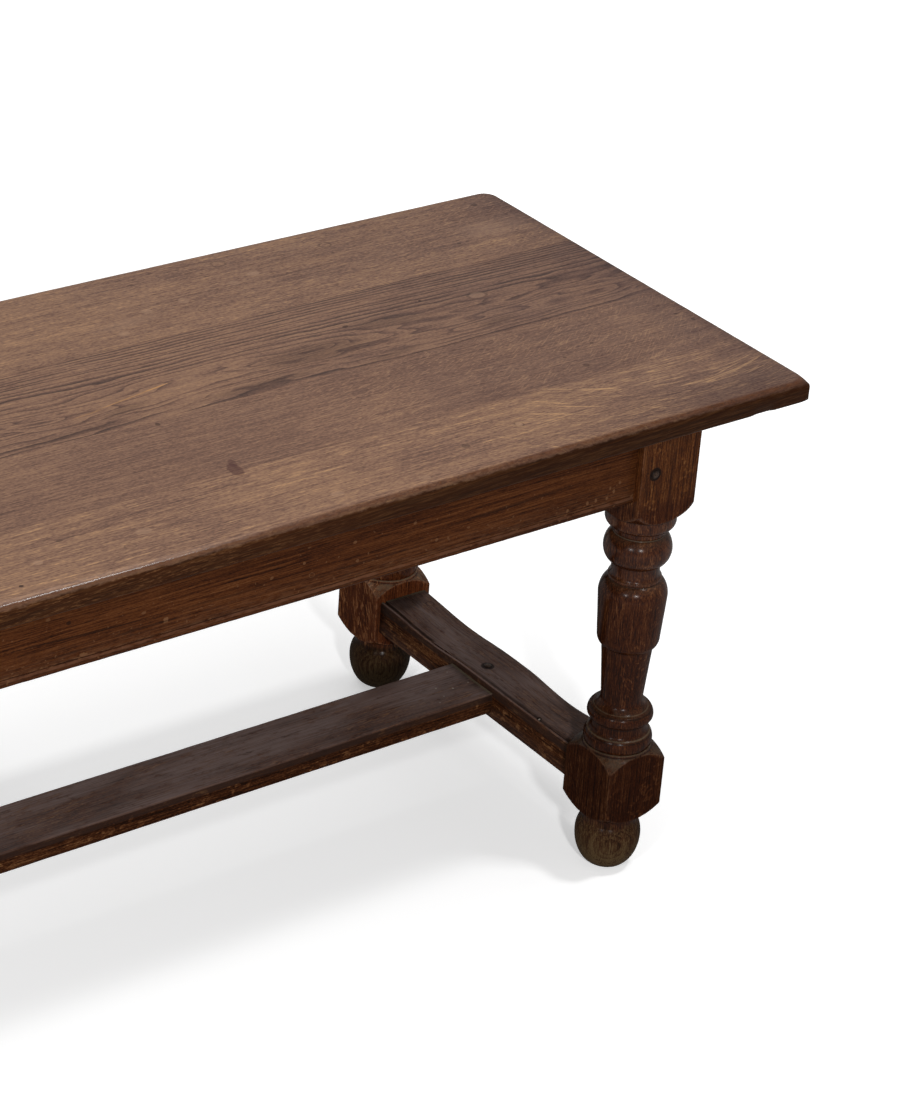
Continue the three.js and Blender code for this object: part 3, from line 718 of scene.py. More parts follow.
def cross_section(share, shift, ragged):
    """A cross stretcher's section: across from the inner side, and up. The bead wanders by shift
    and the far lip of its quirk is torn by ragged."""

    def surface(across):
        return CROSS_TOP - foot_wear(share, across / CROSS_WIDTH)

    deep, wide = quirk_wear(share)
    depth = CROSS_QUIRK_DEPTH * deep
    bead_foot = surface(0) - CROSS_BEAD_DROP - 0.5 * (1 - min(1.0, deep))
    points = [
        (CROSS_UNDER_ARRIS, CROSS_BOTTOM),
        (0.3, CROSS_BOTTOM + 0.35),
        (0.0, CROSS_BOTTOM + CROSS_UNDER_ARRIS),
        (0.0, (CROSS_BOTTOM + bead_foot) / 2),
    ]
    quirk = CROSS_BEAD + shift
    for step in range(13):
        angle = math.radians(180 - 150 * step / 12)
        across = quirk * (1 + math.cos(angle)) / 2
        points.append((across, bead_foot + CROSS_BEAD_DROP * math.sin(angle)))
    breadth = CROSS_QUIRK * wide + ragged
    points += [
        (quirk, surface(0) - depth),
        (quirk + breadth * 0.7, surface(0) - depth * 0.5),
        (quirk + breadth, surface(quirk + breadth) - 0.15),
        (quirk + breadth + 0.8, surface(quirk + breadth)),
    ]
    flat_start = quirk + 6
    flat_end = CROSS_WIDTH - CROSS_ARRIS
    for step in range(1, 9):
        across = flat_start + (flat_end - flat_start) * step / 8
        points.append((across, surface(across)))
    edge = surface(flat_end)
    for s, c in quarter_turn(6)[1:]:
        points.append((CROSS_WIDTH - CROSS_ARRIS * (1 - s), edge - CROSS_ARRIS * (1 - c)))
    return points + [
        (CROSS_WIDTH, (edge + CROSS_BOTTOM) / 2),
        (CROSS_WIDTH, CROSS_BOTTOM + CROSS_UNDER_ARRIS),
        (CROSS_WIDTH - 0.3, CROSS_BOTTOM + 0.35),
        (CROSS_WIDTH - CROSS_UNDER_ARRIS, CROSS_BOTTOM),
    ]


def cross_finish(across, up, deep, torn, near_end):
    """Painted shade and dirt in the quirk, rub on the bead and the arrises, and dirt at the ends."""
    quirk = smooth_step(4.0, 4.6, across) * smooth_step(7.6 + 2 * torn, 5.6, across)
    quirk *= smooth_step(0.0, 0.9, deep)
    upper = smooth_step(CROSS_TOP - 14, CROSS_TOP - 9, up)
    on_bead = smooth_step(0.6, 1.4, across) * smooth_step(4.2, 3.2, across)
    low_edge = smooth_step(CROSS_WIDTH - 3.4, CROSS_WIDTH - 0.8, across)
    rub = max(on_bead * 0.5, low_edge) * upper
    foot = smooth_step(2.5, 0.0, up - CROSS_BOTTOM) * 0.8
    return quirk * upper, max(rub, foot), near_end


def cross_rings(side, seed):
    """Rings along a cross stretcher. The left one is the right one turned half round."""
    half = END_RAIL_HALF
    for i in range(CROSS_STATIONS + 1):
        share = 2 * i / CROSS_STATIONS - 1
        shift = 0.12 * wobble((share * half, 0, 0), 30, seed)
        deep, wide = quirk_wear(share)
        torn = smooth_step(1.1, 1.8, wide)
        ragged = torn * (0.9 * wobble((share * half, 0, 0), 4, seed) + 0.4)
        near_end = smooth_step(16, 0, half * (1 - abs(share)))
        ring = []
        for across, up in cross_section(share, shift, ragged):
            dent = 0.12 * wobble((across, share * half, up), 8, seed)
            down = max(0.0, 0.08 + dent) if up > CROSS_TOP - 12 else 0.0
            point = (side * (CENTRE_HALF + across), side * share * half, up - down)
            ring.append((point, cross_finish(across, up, deep, torn, near_end)))
        yield ring


def centre_corner(along, quarter, half_width, bottom, top):
    """The eased arris of the centre stretcher at one corner: its points, and how rubbed each is."""
    side_y = 1 if quarter in (0, 3) else -1
    radius = CENTRE_ARRIS + 0.7 * abs(wobble((along, quarter * 40, 0), 38, 21))
    level, way_z = (top, 1) if quarter < 2 else (bottom, -1)
    for s, c in quarter_turn(5):
        out, rise = (c, s) if quarter in (0, 2) else (s, c)
        y = side_y * (half_width - radius + radius * out)
        z = level - way_z * (radius - radius * rise)
        yield (along, y, z), min(1.0, out * rise * 2.2)


def centre_rings():
    """Rings along the centre stretcher. Its upper face dips a little."""
    low, high = unit_box("centre_stretcher")
    for i in range(CENTRE_STATIONS + 1):
        along = -CENTRE_HALF + 2 * CENTRE_HALF * i / CENTRE_STATIONS
        near_end = smooth_step(16, 0, CENTRE_HALF - abs(along))
        ring = []
        for quarter in range(4):
            for point, rub in centre_corner(along, quarter, high.y, low.z, high.z):
                ring.append((point, (0.0, rub, near_end)))
            for share in (0.5, 0.0, -0.5) if quarter == 0 else ():
                dip = CENTRE_DIP * (1 - abs(share)) + 0.15 * wobble((along, share * 30, 0), 40, 7)
                point = (along, share * high.y, high.z - max(0.0, dip))
                ring.append((point, (0.0, 0.0, near_end)))
        yield ring


def build_stretchers():
    sides = {"cross_stretcher_right": 1, "cross_stretcher_left": -1}
    cross = cross_oak(sides)
    for seed, (node, side) in enumerate(sides.items()):
        piece = lofted("worn_" + node, cross_rings(side, seed + 31), sharp_angle=40)
        dress(piece, cross, (node,))
    centre = lofted("eased_centre_stretcher", centre_rings(), sharp_angle=40)
    dress(centre, centre_oak(), ("centre_stretcher",))


def peg_mesh(name, radius, length, seed):
    """A split peg along +Z with its driven end at 0 and its domed head at length."""
    outline = [
        (radius - PEG_TAPER, 0.0),
        (radius, PEG_POINT),
        (radius, length - PEG_DOME - 0.15),
    ]
    for s, c in quarter_turn(8)[1:-1]:
        outline.append((radius * c**0.8, length - PEG_DOME * (1 - s)))
    rings = []
    for across, up in outline:
        ring = []
        for x, y, _ in circle(1.0, up, PEG_SIDES):
            trimmed = across * (1 - 0.05 * abs(wobble((x * 3, y * 3, up * 0.2), 3, seed)))
            ring.append((trimmed * x, trimmed * y, up))
        rings.append(ring)
    return mesh_object(name, *skin(rings), None, 50)


def peg_way(node):
    """The middle of a peg, the way to its head, and its length: along the longest side of its
    box, outwards or up."""
    low, high = unit_box(node)
    size = high - low
    middle = (low + high) / 2
    axis = max(range(3), key=lambda k: size[k])
    way = Vector((0, 0, 0))
    way[axis] = 1.0 if axis == 2 else math.copysign(1, middle[axis])
    return middle, way, size[axis]


def peg_nodes():
    return sorted(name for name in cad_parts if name.startswith("peg_"))


def peg_heads(node, origin):
    """Where the heads of the pegs within a node's box are, from the origin of its piece."""
    low, high = unit_box(node)
    heads = []
    for name in peg_nodes():
        middle, way, length = peg_way(name)
        if all(low[k] - 4 < middle[k] < high[k] + 4 for k in range(3)):
            heads.append(middle + way * length / 2 - origin)
    return heads


def build_pegs():
    oak = peg_oak()
    for seed, node in enumerate(peg_nodes()):
        middle, way, length = peg_way(node)
        piece = peg_mesh("split_" + node, PEG_RADIUS, length, seed)
        turn = way.to_track_quat("Z", "Y").to_matrix().to_4x4()
        piece.matrix_world = Matrix.Translation((middle - way * length / 2) * MM) @ turn
        bpy.context.view_layer.update()
        dress(piece, oak, (node,))


def screw_mesh(name):
    """A slotted countersunk screw head with a short shank, pointing up from 0."""
    head, shank = SCREW_HEAD, SCREW_SHANK
    outline = [(head - 0.2, 0.0), (head, 0.25), (shank, 2.6), (shank, 9.0), (0.6, 11.0)]
    rings = [circle(across, up, SCREW_SIDES) for across, up in outline]
    points, faces = skin(rings)
    faces.pop(-2)
    rim = rings[0]
    base = len(points)
    reach = math.sqrt((head - SLOT_MARGIN) ** 2 - SLOT_HALF**2) * 0.999
    for level in (0.0, SLOT_DEPTH):
        for x, y in ((-1, -1), (1, -1), (1, 1), (-1, 1)):
            points.append((x * reach, y * SLOT_HALF, level))
    sides = range(SCREW_SIDES)
    upper = [i for i in sides if rim[i][1] > SLOT_HALF + 0.05]
    lower = [i for i in sides if rim[i][1] < -SLOT_HALF - 0.05]
    ends = [i for i in sides if i not in upper and i not in lower]
    right = sorted((i for i in ends if rim[i][0] > 0), key=lambda i: rim[i][1])
    left = sorted((i for i in ends if rim[i][0] < 0), key=lambda i: -rim[i][1])
    faces.append((base + 3, base + 2, *upper))
    faces.append((base + 1, base, *lower))
    faces.append((base + 2, base + 1, lower[-1], *right, upper[0]))
    faces.append((base, base + 3, upper[-1], *left, lower[0]))
    for i in range(4):
        j = (i + 1) % 4
        faces.append((base + i, base + j, base + 4 + j, base + 4 + i))
    faces.append((base + 4, base + 5, base + 6, base + 7))
    return mesh_object(name, points, faces, None, 30)


def build_buttons():
    """The CAD buttons stay, with softened edges, and each gets its screw."""
    oak = button_oak()
    steel = screw_steel()
    for name, node in sorted(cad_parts.items()):
        if not name.startswith("button_"):
            continue
        node.data.materials.clear()
        node.data.materials.append(oak)
        ease(node, "eased edges", BUTTON_EASE)
        low, high = unit_box(name)
        place = (low + high) / 2
        axis = 0 if high.x - low.x > high.y - low.y else 1
        place[axis] -= math.copysign(BUTTON_TONGUE / 2, place[axis])
        place.z = low.z - 0.05
        screw = screw_mesh("screw_" + name.removeprefix("button_"))
        screw.location = place * MM
        screw.rotation_euler.z = 0.9 * (len(name) + low.x * 0.01 + low.y * 0.03)
        bpy.context.view_layer.update()
        dress(screw, steel)


class Nodes:
    """Short ways to add nodes to the tree of a material or the world. colour is the colour so far."""

    def __init__(self, owner, output="OutputMaterial"):
        owner.use_nodes = True
        self.owner = owner
        self.tree = owner.node_tree
        self.tree.nodes.clear()
        self.output = self.add(output)
        self.colour = None

    def add(self, kind, **settings):
        node = self.tree.nodes.new("ShaderNode" + kind)
        for key, value in settings.items():
            setattr(node, key, value)
        return node

    def put(self, socket, value):
        if isinstance(value, bpy.types.NodeSocket):
            self.tree.links.new(value, socket)
        else:
            socket.default_value = value

    def fill(self, node, *values):
        """Set a node's first inputs, and return its first output, if it has one."""
        for socket, value in zip(node.inputs, values):
            self.put(socket, value)
        return next(iter(node.outputs), None)

    def math(self, operation, *values, clamp=False):
        return self.fill(self.add("Math", operation=operation, use_clamp=clamp), *values)

    def chain(self, operation, values):
        return reduce(lambda a, b: self.math(operation, a, b), values)

    def total(self, *values):
        return self.chain("ADD", values)

    def times(self, *values):
        return self.chain("MULTIPLY", values)

    def most(self, *values):
        return self.chain("MAXIMUM", values)

    def weigh(self, value, weight, base):
        """The base with a value added to it, times its weight."""
        return self.math("MULTIPLY_ADD", value, weight, base)

    def centred(self, value):
        return self.math("SUBTRACT", value, 0.5)

    def vector(self, operation, a, *b):
        node = self.add("VectorMath", operation=operation)
        self.fill(node, a, *b)
        return node.outputs["Value" if operation == "LENGTH" else "Vector"]

    def parts(self, vector, kind="SeparateXYZ"):
        """The three parts of a vector or a colour."""
        node = self.add(kind)
        self.fill(node, vector)
        return node.outputs[:3]

    def join(self, x, y, z):
        return self.fill(self.add("CombineXYZ"), x, y, z)

    def rotated(self, vector, kind, socket, turn):
        node = self.add("VectorRotate", rotation_type=kind)
        self.put(node.inputs[socket], turn)
        return self.fill(node, vector)

    def place(self, turn=None, shift=(0, 0, 0)):
        """The surface point in millimetres, shifted and then turned so that grain runs along X."""
        here = self.add("VectorMath", operation="SCALE")
        self.put(here.inputs["Scale"], 1 / MM)
        self.fill(here, self.add("TexCoord").outputs["Object"])
        moved = self.vector("SUBTRACT", here.outputs[0], shift)
        return self.rotated(moved, "EULER_XYZ", "Rotation", turn) if turn else moved

    def noise(self, vector, size, detail=2.0, roughness=0.5, seed=0.0, colour=False):
        """Noise with features of that size in millimetres, one size for each axis."""
        scaled = self.vector("MULTIPLY", vector, tuple(1 / s for s in size))
        if seed:
            scaled = self.vector("ADD", scaled, (seed * 3.7, seed * 7.1, seed * 1.9))
        node = self.add("TexNoise")
        settings = {"Vector": scaled, "Scale": 1.0, "Detail": detail, "Roughness": roughness}
        for name, value in settings.items():
            self.put(node.inputs[name], value)
        return node.outputs["Color" if colour else "Fac"]

    def swing(self, vector, size, reach, seed):
        """A smooth shift across the grain, mostly within a fifth of reach each way."""
        drift = self.noise(vector, size, 2.0, 0.5, seed, colour=True)
        drift = self.vector("SUBTRACT", drift, (0.5, 0.5, 0.5))
        return self.vector("MULTIPLY", drift, (0.0, reach, reach))

    def span(self, value, low, high, to_low=0.0, to_high=1.0, smooth=True):
        """A value from low to high mapped to the other two, and level past them."""
        node = self.add("MapRange", interpolation_type="SMOOTHSTEP" if smooth else "LINEAR")
        return self.fill(node, value, low, high, to_low, to_high)

    def band(self, value, low, high, soft):
        """1 between low and high, and 0 past them by more than soft."""
        rise = self.span(value, low - soft, low + soft)
        return self.times(rise, self.span(value, high + soft, high - soft))

    def ramp(self, value, stops):
        node = self.add("ValToRGB")
        elements = node.color_ramp.elements
        while len(elements) < len(stops):
            elements.new(0.5)
        for element, (position, colour) in zip(elements, stops):
            element.position = position
            element.color = (*colour, 1.0)
        return self.fill(node, value)

    def mix(self, factor, a, b, blend="MIX"):
        node = self.add("Mix", data_type="RGBA", blend_type=blend)
        for index, value in ((0, factor), (6, a), (7, b)):
            self.put(node.inputs[index], (*value, 1.0) if isinstance(value, tuple) else value)
        return node.outputs[2]

    def multiply(self, colour, by):
        return self.mix(1.0, colour, by, "MULTIPLY")

    def lay(self, paint, *amounts):
        """Lay a paint over the colour so far, by the product of the amounts."""
        self.colour = self.mix(self.times(*amounts), self.colour, paint)

    def tint(self, amount, paint):
        """Multiply the colour so far by a clear paint, by an amount."""
        self.colour = self.multiply(self.colour, self.mix(amount, (1, 1, 1), paint))

    def finish_marks(self):
        """The three finish marks as the mesh carries them: how hollow a point is or whether it lies
        in a quirk, which takes painted shade; rub; and flatness, or dirt with painted shadow.
        """
        marks = self.add("Attribute", attribute_name="finish").outputs["Color"]
        return self.parts(marks, "SeparateColor")

    def facing_up(self, low, high):
        """1 where the surface faces up more than high, 0 where less than low."""
        normal = self.add("NewGeometry").outputs["Normal"]
        return self.span(self.parts(normal)[2], low, high)

    def surface(self, roughness, height, bump, specular, coat=0.0, coat_roughness=0.2):
        """Wood under wax: base colour, roughness and bump come from nodes."""
        shader = self.add("BsdfPrincipled")
        relief = self.add("Bump")
        relief.inputs["Strength"].default_value = 1.0
        relief.inputs["Distance"].default_value = bump * MM
        self.put(relief.inputs["Height"], height)
        self.put(shader.inputs["Base Color"], self.colour)
        self.put(shader.inputs["Roughness"], roughness)
        self.put(shader.inputs["Coat Weight"], coat)
        self.put(shader.inputs["Normal"], relief.outputs[0])
        shader.inputs["Specular IOR Level"].default_value = specular
        shader.inputs["Coat Roughness"].default_value = coat_roughness
        self.fill(self.output, shader.outputs[0])
        return shader


def material_nodes(name):
    return Nodes(bpy.data.materials.new(name))


def figure(n, place, look, seed):
    """Growth rings about a pith line that runs along X. look gives the pith's y and z, how far it
    leans in them for each millimetre of x, the ring spacing, how far the rings wander, and how far
    the pith line itself swings up and down under its own heart wood. Returns how deep in the dark
    early wood a point is, from 0 to 1."""
    drift = n.swing(place, (190, 60, 60), look["wander"], seed)
    fine = n.swing(place, (34, 8, 8), look["waver"], seed + 1)
    along, across, up = n.parts(n.vector("ADD", n.vector("ADD", place, drift), fine))
    y, z = (
        n.math("SUBTRACT", n.weigh(along, -lean, part), pith)
        for part, lean, pith in zip((across, up), look["lean"], look["pith"])
    )
    in_heart = "heart_swing" in look
    if in_heart:
        swing = n.centred(n.noise(place, (190, 34, 400), 2.0, 0.5, seed + 9))
        from_heart = n.math("ABSOLUTE", y)
        near = n.span(from_heart, look["heart_half"], 0.0)
        z = n.math("ADD", z, n.times(swing, near, look["heart_swing"]))
    radius = n.math("SQRT", n.math("ADD", n.times(y, y), n.times(z, z)))
    rings = n.math("DIVIDE", radius, look["spacing"])
    uneven = n.add("TexNoise", noise_dimensions="1D")
    n.put(uneven.inputs["W"], n.weigh(rings, 0.45, seed * 5.3))
    uneven.inputs["Scale"].default_value = 1.0
    uneven.inputs["Detail"].default_value = 1.0
    phase = n.math("FRACT", n.weigh(uneven.outputs["Fac"], look.get("uneven", 2.4), rings))
    early = n.math("POWER", n.math("SUBTRACT", 1.0, phase), 2.6)
    if in_heart:
        early = n.times(early, n.span(from_heart, 22, 44, 0.6, 1.0))
    return n.times(early, n.span(phase, 0.0, 0.1))


def grain(n, place, look, seed):
    """One tone for the wood, about 0.5 in the middle, its relief and its pores. look weighs the
    rings, the dark pores, the pale dashes, the long fine lines, the fine and the broad streaks,
    the specks and the clouds."""
    early = figure(n, place, look, seed)
    length, width = look["dash"]

    def dashes(long, wide, step, low, high):
        field = n.noise(place, (length * long, width * wide, width * wide), 2.0, 0.6, seed + step)
        return n.span(field, low, high)

    def streaks(size, detail, roughness, step):
        return n.centred(n.noise(place, size, detail, roughness, seed + step))

    pores = n.times(dashes(1, 1, 2, 0.54, 0.64), n.weigh(early, 0.6, 0.55))
    layers = {
        "pale": dashes(2, 1, 5, 0.54, 0.66),
        "lines": n.centred(dashes(8, 1.2, 10, 0.38, 0.62)),
        "thin": streaks((24, width * 1.2, width * 1.2), 3.0, 0.65, 3),
        "speck": streaks((width * 2.4, width, width), 1.0, 0.5, 11),
        "wide": streaks((170, 8, 8), 3.0, 0.6, 4),
        "clouds": streaks((130, 70, 70), 3.0, 0.6, 7),
    }
    early = n.times(early, n.span(n.noise(place, (80, 9, 9), 2.0, 0.5, seed + 8), 0.24, 0.52))
    tone = n.weigh(early, -look["rings"], 0.5 + look["shade"])
    tone = n.weigh(pores, -look["pores"], tone)
    for name, layer in layers.items():
        tone = n.weigh(layer, look[name], tone)
    height = n.weigh(pores, -0.7, n.times(layers["thin"], 0.6))
    return tone, n.weigh(early, -0.3, height), pores


def ray_flecks(n, place, bend, seed):
    """Pale rays of quarter-sawn oak, in long thin lines or in short strokes. They lie along a bend:
    where its lines run level, their slope there and how fast the slope grows with x."""
    x, y, z = n.parts(place)
    away = n.math("SUBTRACT", x, bend["level_x"])
    fall = n.weigh(away, bend["slope"], n.times(n.times(away, away), bend["growth"] / 2))
    straight = n.join(x, n.math("SUBTRACT", y, fall), z)
    length, width = bend["size"]
    field = n.noise(straight, (length, width, width * 3), 1.0, 0.5, seed)
    breadth = bend["breadth"]
    if bend["long"]:
        return n.span(n.math("ABSOLUTE", n.centred(field)), breadth, breadth * 0.3)
    return n.span(field, breadth, breadth + 0.06)


def mark(colour, x, y, half_x, half_y, strength, turn=0, soft=0.15, ring=False):
    """A stain, dent or speck: an oval spot, or the ring round one, at a place in millimetres."""
    return {
        "colour": colour,
        "at": (x, y, 0),
        "scale": (1 / half_x, 1 / half_y, 0.0),
        "strength": strength,
        "turn": -math.radians(turn),
        "soft": soft,
        "ring": ring,
    }


def lay_marks(n, place, ragged, marks, *where):
    """Lay marks over the colour so far. ragged moves their rims in and out."""
    for spot in marks:
        away = n.vector("SUBTRACT", place, spot["at"])
        away = n.rotated(away, "Z_AXIS", "Angle", spot["turn"])
        from_middle = n.vector("LENGTH", n.vector("MULTIPLY", away, spot["scale"]))
        away = n.math("ADD", from_middle, n.times(ragged, 0.5))
        if spot["ring"]:
            shown = n.band(away, 0.82, 1.08, 0.16)
        else:
            shown = n.span(away, 1.0 + spot["soft"], 1.0 - spot["soft"])
        n.lay(spot["colour"], n.times(shown, spot["strength"]), *where)


PALE_STAIN = (0.30, 0.185, 0.12)
DARK_STAIN = (0.035, 0.020, 0.016)
BURN = (0.058, 0.024, 0.022)
GOLDEN = (0.42, 0.22, 0.085)
# This near-black paint is real dirt in some places, and painted shade in recesses, under parts and
# round pegs in others.
GRIME_AND_SHADE = (0.008, 0.0045, 0.0035)
DENT = (0.17, 0.078, 0.036)
PALE_SPECK = (0.40, 0.34, 0.28)

# Marks that years of use left on the top, from the middle of the table
MARKS = (
    mark(PALE_STAIN, 455, 44, 8.5, 5.5, 0.35, turn=12),
    mark(DARK_STAIN, 455, 44, 9.5, 6.5, 0.4, ring=True),
    mark(PALE_STAIN, -34, -185.6, 7, 4.5, 0.4),
    mark(PALE_STAIN, 131.5, -207.6, 6, 4, 0.35),
    mark(PALE_STAIN, 209, -218.6, 5, 4, 0.3),
    mark(PALE_STAIN, -128.9, -189, 4, 3, 0.5),
    mark(DARK_STAIN, 333.4, -179.2, 4, 4.5, 0.45, ring=True),
    mark(PALE_STAIN, 333.4, -179.2, 3, 3.5, 0.35),
    mark(PALE_STAIN, 176.8, 152.2, 5, 4.5, 0.4),
    mark(PALE_STAIN, 217.4, 156.5, 5, 5, 0.3),
    mark(PALE_STAIN, 276.3, 167.1, 5, 5, 0.25),
    mark(PALE_STAIN, 302.9, 176.4, 6, 4, 0.45),
    mark(PALE_STAIN, 136, 123, 5, 4, 0.35),
    mark(DARK_STAIN, 396.1, 198.8, 6, 5, 0.5, ring=True),
    mark(DARK_STAIN, 286, 208.1, 7, 6, 0.4, ring=True),
    mark(DARK_STAIN, 222, 133, 4, 4, 0.35, ring=True),
    mark(DARK_STAIN, -55, -201, 5, 4, 0.35, ring=True),
    mark(DARK_STAIN, 210, -219, 5, 4, 0.25, ring=True),
    mark(DARK_STAIN, 70.9, -36.6, 2, 2.6, 0.7),
    mark(DARK_STAIN, 574.7, 210.2, 3.5, 3, 0.55),
    mark(DARK_STAIN, 312.7, 45.1, 3.5, 2, 0.7, turn=20),
    mark(DARK_STAIN, 402, 57.8, 1.8, 1.6, 0.85),
    mark(DARK_STAIN, 508.3, 143.8, 2.2, 1.6, 0.6),
    mark(DARK_STAIN, 485, -84, 1.8, 1.8, 0.6),
    mark(DARK_STAIN, 453.2, -117, 3, 3, 0.5),
    mark(DARK_STAIN, 446, -96, 1.6, 1.6, 0.5),
    mark(DARK_STAIN, 590, -72, 2, 1.6, 0.6),
    mark(DARK_STAIN, 597, -88, 2, 2.2, 0.6),
    mark(DARK_STAIN, -157.7, -213.9, 2, 1.6, 0.9),
    mark(DARK_STAIN, -98, -167.4, 3, 2, 0.4),
    mark(BURN, 83, -134, 6, 10, 0.62, turn=-8),
    mark(BURN, 87, -124, 3.4, 7, 0.5, turn=-12),
    mark(DARK_STAIN, 271.2, -189.8, 4, 3.4, 0.5),
    mark(DARK_STAIN, 505, -229.6, 9, 1.1, 0.85),
    mark(GOLDEN, 80, 16.5, 42, 0.9, 0.4, turn=11),
    mark(GOLDEN, 105, 21.5, 12, 1.1, 0.5, turn=10),
    mark(GOLDEN, 30, 6, 14, 0.9, 0.3, turn=6),
    mark(PALE_STAIN, 150, 139, 28, 7, 0.25, turn=6, soft=0.6),
    mark(PALE_STAIN, 560, 160, 32, 16, 0.3, soft=0.8),
    mark(DARK_STAIN, 262, 14, 52, 15, 0.3, soft=0.5),
    mark(DARK_STAIN, 352, 36, 34, 9, 0.28, turn=-10, soft=0.5),
    mark(DARK_STAIN, 440, -9, 18, 5, 0.3, turn=6, soft=0.5),
    mark(DARK_STAIN, 190, -16, 58, 6, 0.28, turn=2, soft=0.6),
    mark(DARK_STAIN, 60, -2, 22, 5, 0.28, turn=12, soft=0.6),
    mark(DARK_STAIN, 0, -20, 50, 4, 0.25, turn=2, soft=0.6),
    mark(DARK_STAIN, 320, -20, 30, 4, 0.25, turn=8, soft=0.6),
)
MARK_MARGIN = 8.0

# Dents and dark lines on the front rail's face: along and up
RAIL_MARKS = (
    mark(DENT, -23.6, 410, 2.4, 2.6, 0.95),
    mark(DENT, -98, 400.6, 3.4, 1.6, 0.85),
    mark(DENT, -129, 440, 2.2, 1.4, 0.6),
    mark(DENT, -44, 422, 2.0, 1.4, 0.6),
    mark(DENT, 105, 425, 1.6, 1.4, 0.8),
    mark(DENT, 74, 420, 1.6, 1.4, 0.6),
    mark(DENT, 113, 412, 2.4, 2.0, 0.6, ring=True),
    mark(DENT, 154, 431, 1.6, 1.4, 0.7),
    mark(DENT, 157, 413, 1.6, 1.4, 0.6),
    mark(DENT, 213, 433, 1.8, 1.3, 0.7),
    mark(DENT, 236, 411, 1.6, 1.4, 0.7),
    mark(DENT, 321, 398, 2.2, 1.2, 0.7),
    mark(DENT, 373, 402, 1.4, 1.8, 0.8),
    mark(DENT, 372, 398, 1.4, 1.2, 0.8),
    mark(DENT, 394, 404, 1.4, 2.0, 0.8),
    mark(DENT, 403, 404, 1.3, 1.8, 0.8),
    mark(DENT, 415, 403, 1.4, 1.8, 0.8),
    mark(DENT, 422, 408, 1.4, 1.8, 0.8),
    mark(DENT, 428, 415, 1.4, 1.6, 0.7),
    mark(DENT, 418, 412, 1.3, 1.6, 0.7),
    mark(DENT, 443, 398, 1.6, 1.4, 0.7),
    mark(GRIME_AND_SHADE, -111, 432, 2.2, 1.6, 0.7),
    mark(GRIME_AND_SHADE, -100, 418.5, 62, 0.9, 0.55, turn=-2.5),
    mark(GRIME_AND_SHADE, -42, 409, 32, 0.8, 0.5),
    mark(GRIME_AND_SHADE, 30, 415, 44, 1.0, 0.4, turn=-1),
    mark(GRIME_AND_SHADE, 310, 423, 70, 1.6, 0.4, turn=2),
)

# Marks on the tops of the stretchers, from the middle of the table
STRETCHER_MARKS = (
    mark(PALE_SPECK, 409.7, 2.6, 1.0, 0.9, 0.5),
    mark(PALE_SPECK, 423.6, -5.3, 1.1, 1.0, 0.6),
    mark(PALE_SPECK, 442.3, -3.6, 0.9, 0.9, 0.45),
    mark(PALE_SPECK, 407.8, -12.7, 1.0, 0.8, 0.4),
    mark(PALE_SPECK, 436, 21, 0.9, 0.8, 0.35),
    mark(PALE_SPECK, 398, -20, 0.9, 0.8, 0.35),
    mark(GRIME_AND_SHADE, 470, 139, 19, 13, 0.6, turn=10, soft=0.5),
    mark(GRIME_AND_SHADE, 492, 127, 4, 4, 0.5, ring=True),
    mark(GRIME_AND_SHADE, 455.4, -95, 3, 2.6, 0.9),
    mark(PALE_SPECK, 455.8, -95.4, 1.0, 0.9, 1.0),
)

FLECKS = {"slope": 0.0, "growth": 0.0, "level_x": 0, "long": False}

# Top boards from front to back
BOARDS = (
    {
        "pith": (-700, -260), "lean": (0.0, 0.0), "spacing": 2.8, "wander": 14, "waver": 2.5,
        "dash": (10, 1.5), "rings": 0.12, "pores": 0.13, "pale": 0.22, "lines": 0.10, "speck": 0.55,
        "thin": 0.6, "wide": 0.45, "clouds": 0.4, "shade": 0.02,
        "flecks": (
            {"long": True, "level_x": 520, "growth": 0.0042, "size": (240, 8), "breadth": 0.015,
             "reach": (290, 900), "tone": 0.40},
            {"level_x": 520, "growth": 0.0040, "size": (22, 2.0), "breadth": 0.59,
             "reach": (230, 900), "tone": 0.13},
        ),
    },
    {
        "pith": (-600, -300), "lean": (0.0, 0.0), "spacing": 2.4, "wander": 12, "waver": 2.5,
        "dash": (9, 1.5), "rings": 0.10, "pores": 0.14, "pale": 0.10, "lines": 0.07, "speck": 0.5,
        "thin": 0.5, "wide": 0.25, "clouds": 0.35, "shade": -0.075,
        "flecks": (
            {"level_x": 60, "growth": 0.0018, "size": (12, 2.0), "breadth": 0.58,
             "reach": (180, 900), "tone": 0.15},
            {"long": True, "level_x": 250, "slope": 0.08, "growth": 0.0009, "size": (90, 12),
             "breadth": 0.022, "reach": (330, 900), "tone": 0.13},
        ),
    },
    {
        "pith": (12, -84), "lean": (0.0, -0.008), "heart_swing": 42.0, "heart_half": 52.0,
        "spacing": 2.9, "uneven": 1.1, "wander": 6, "waver": 2.0,
        "dash": (11, 1.5), "rings": 0.78, "pores": 0.12, "pale": 0.08, "lines": 0.03, "speck": 0.5,
        "thin": 0.5, "wide": 0.2, "clouds": 0.3, "shade": 0.02,
        "flecks": (),
    },
    {
        "pith": (800, -330), "lean": (0.0, 0.0), "spacing": 2.8, "wander": 12, "waver": 2.5,
        "dash": (9, 1.6), "rings": 0.10, "pores": 0.16, "pale": 0.14, "lines": 0.08, "speck": 0.65,
        "thin": 0.65, "wide": 0.4, "clouds": 0.5, "shade": 0.0,
        "flecks": (
            {"level_x": 660, "slope": 0.9, "growth": 0.0032, "size": (11, 2.4), "breadth": 0.58,
             "reach": (250, 900), "tone": 0.13},
        ),
    },
)

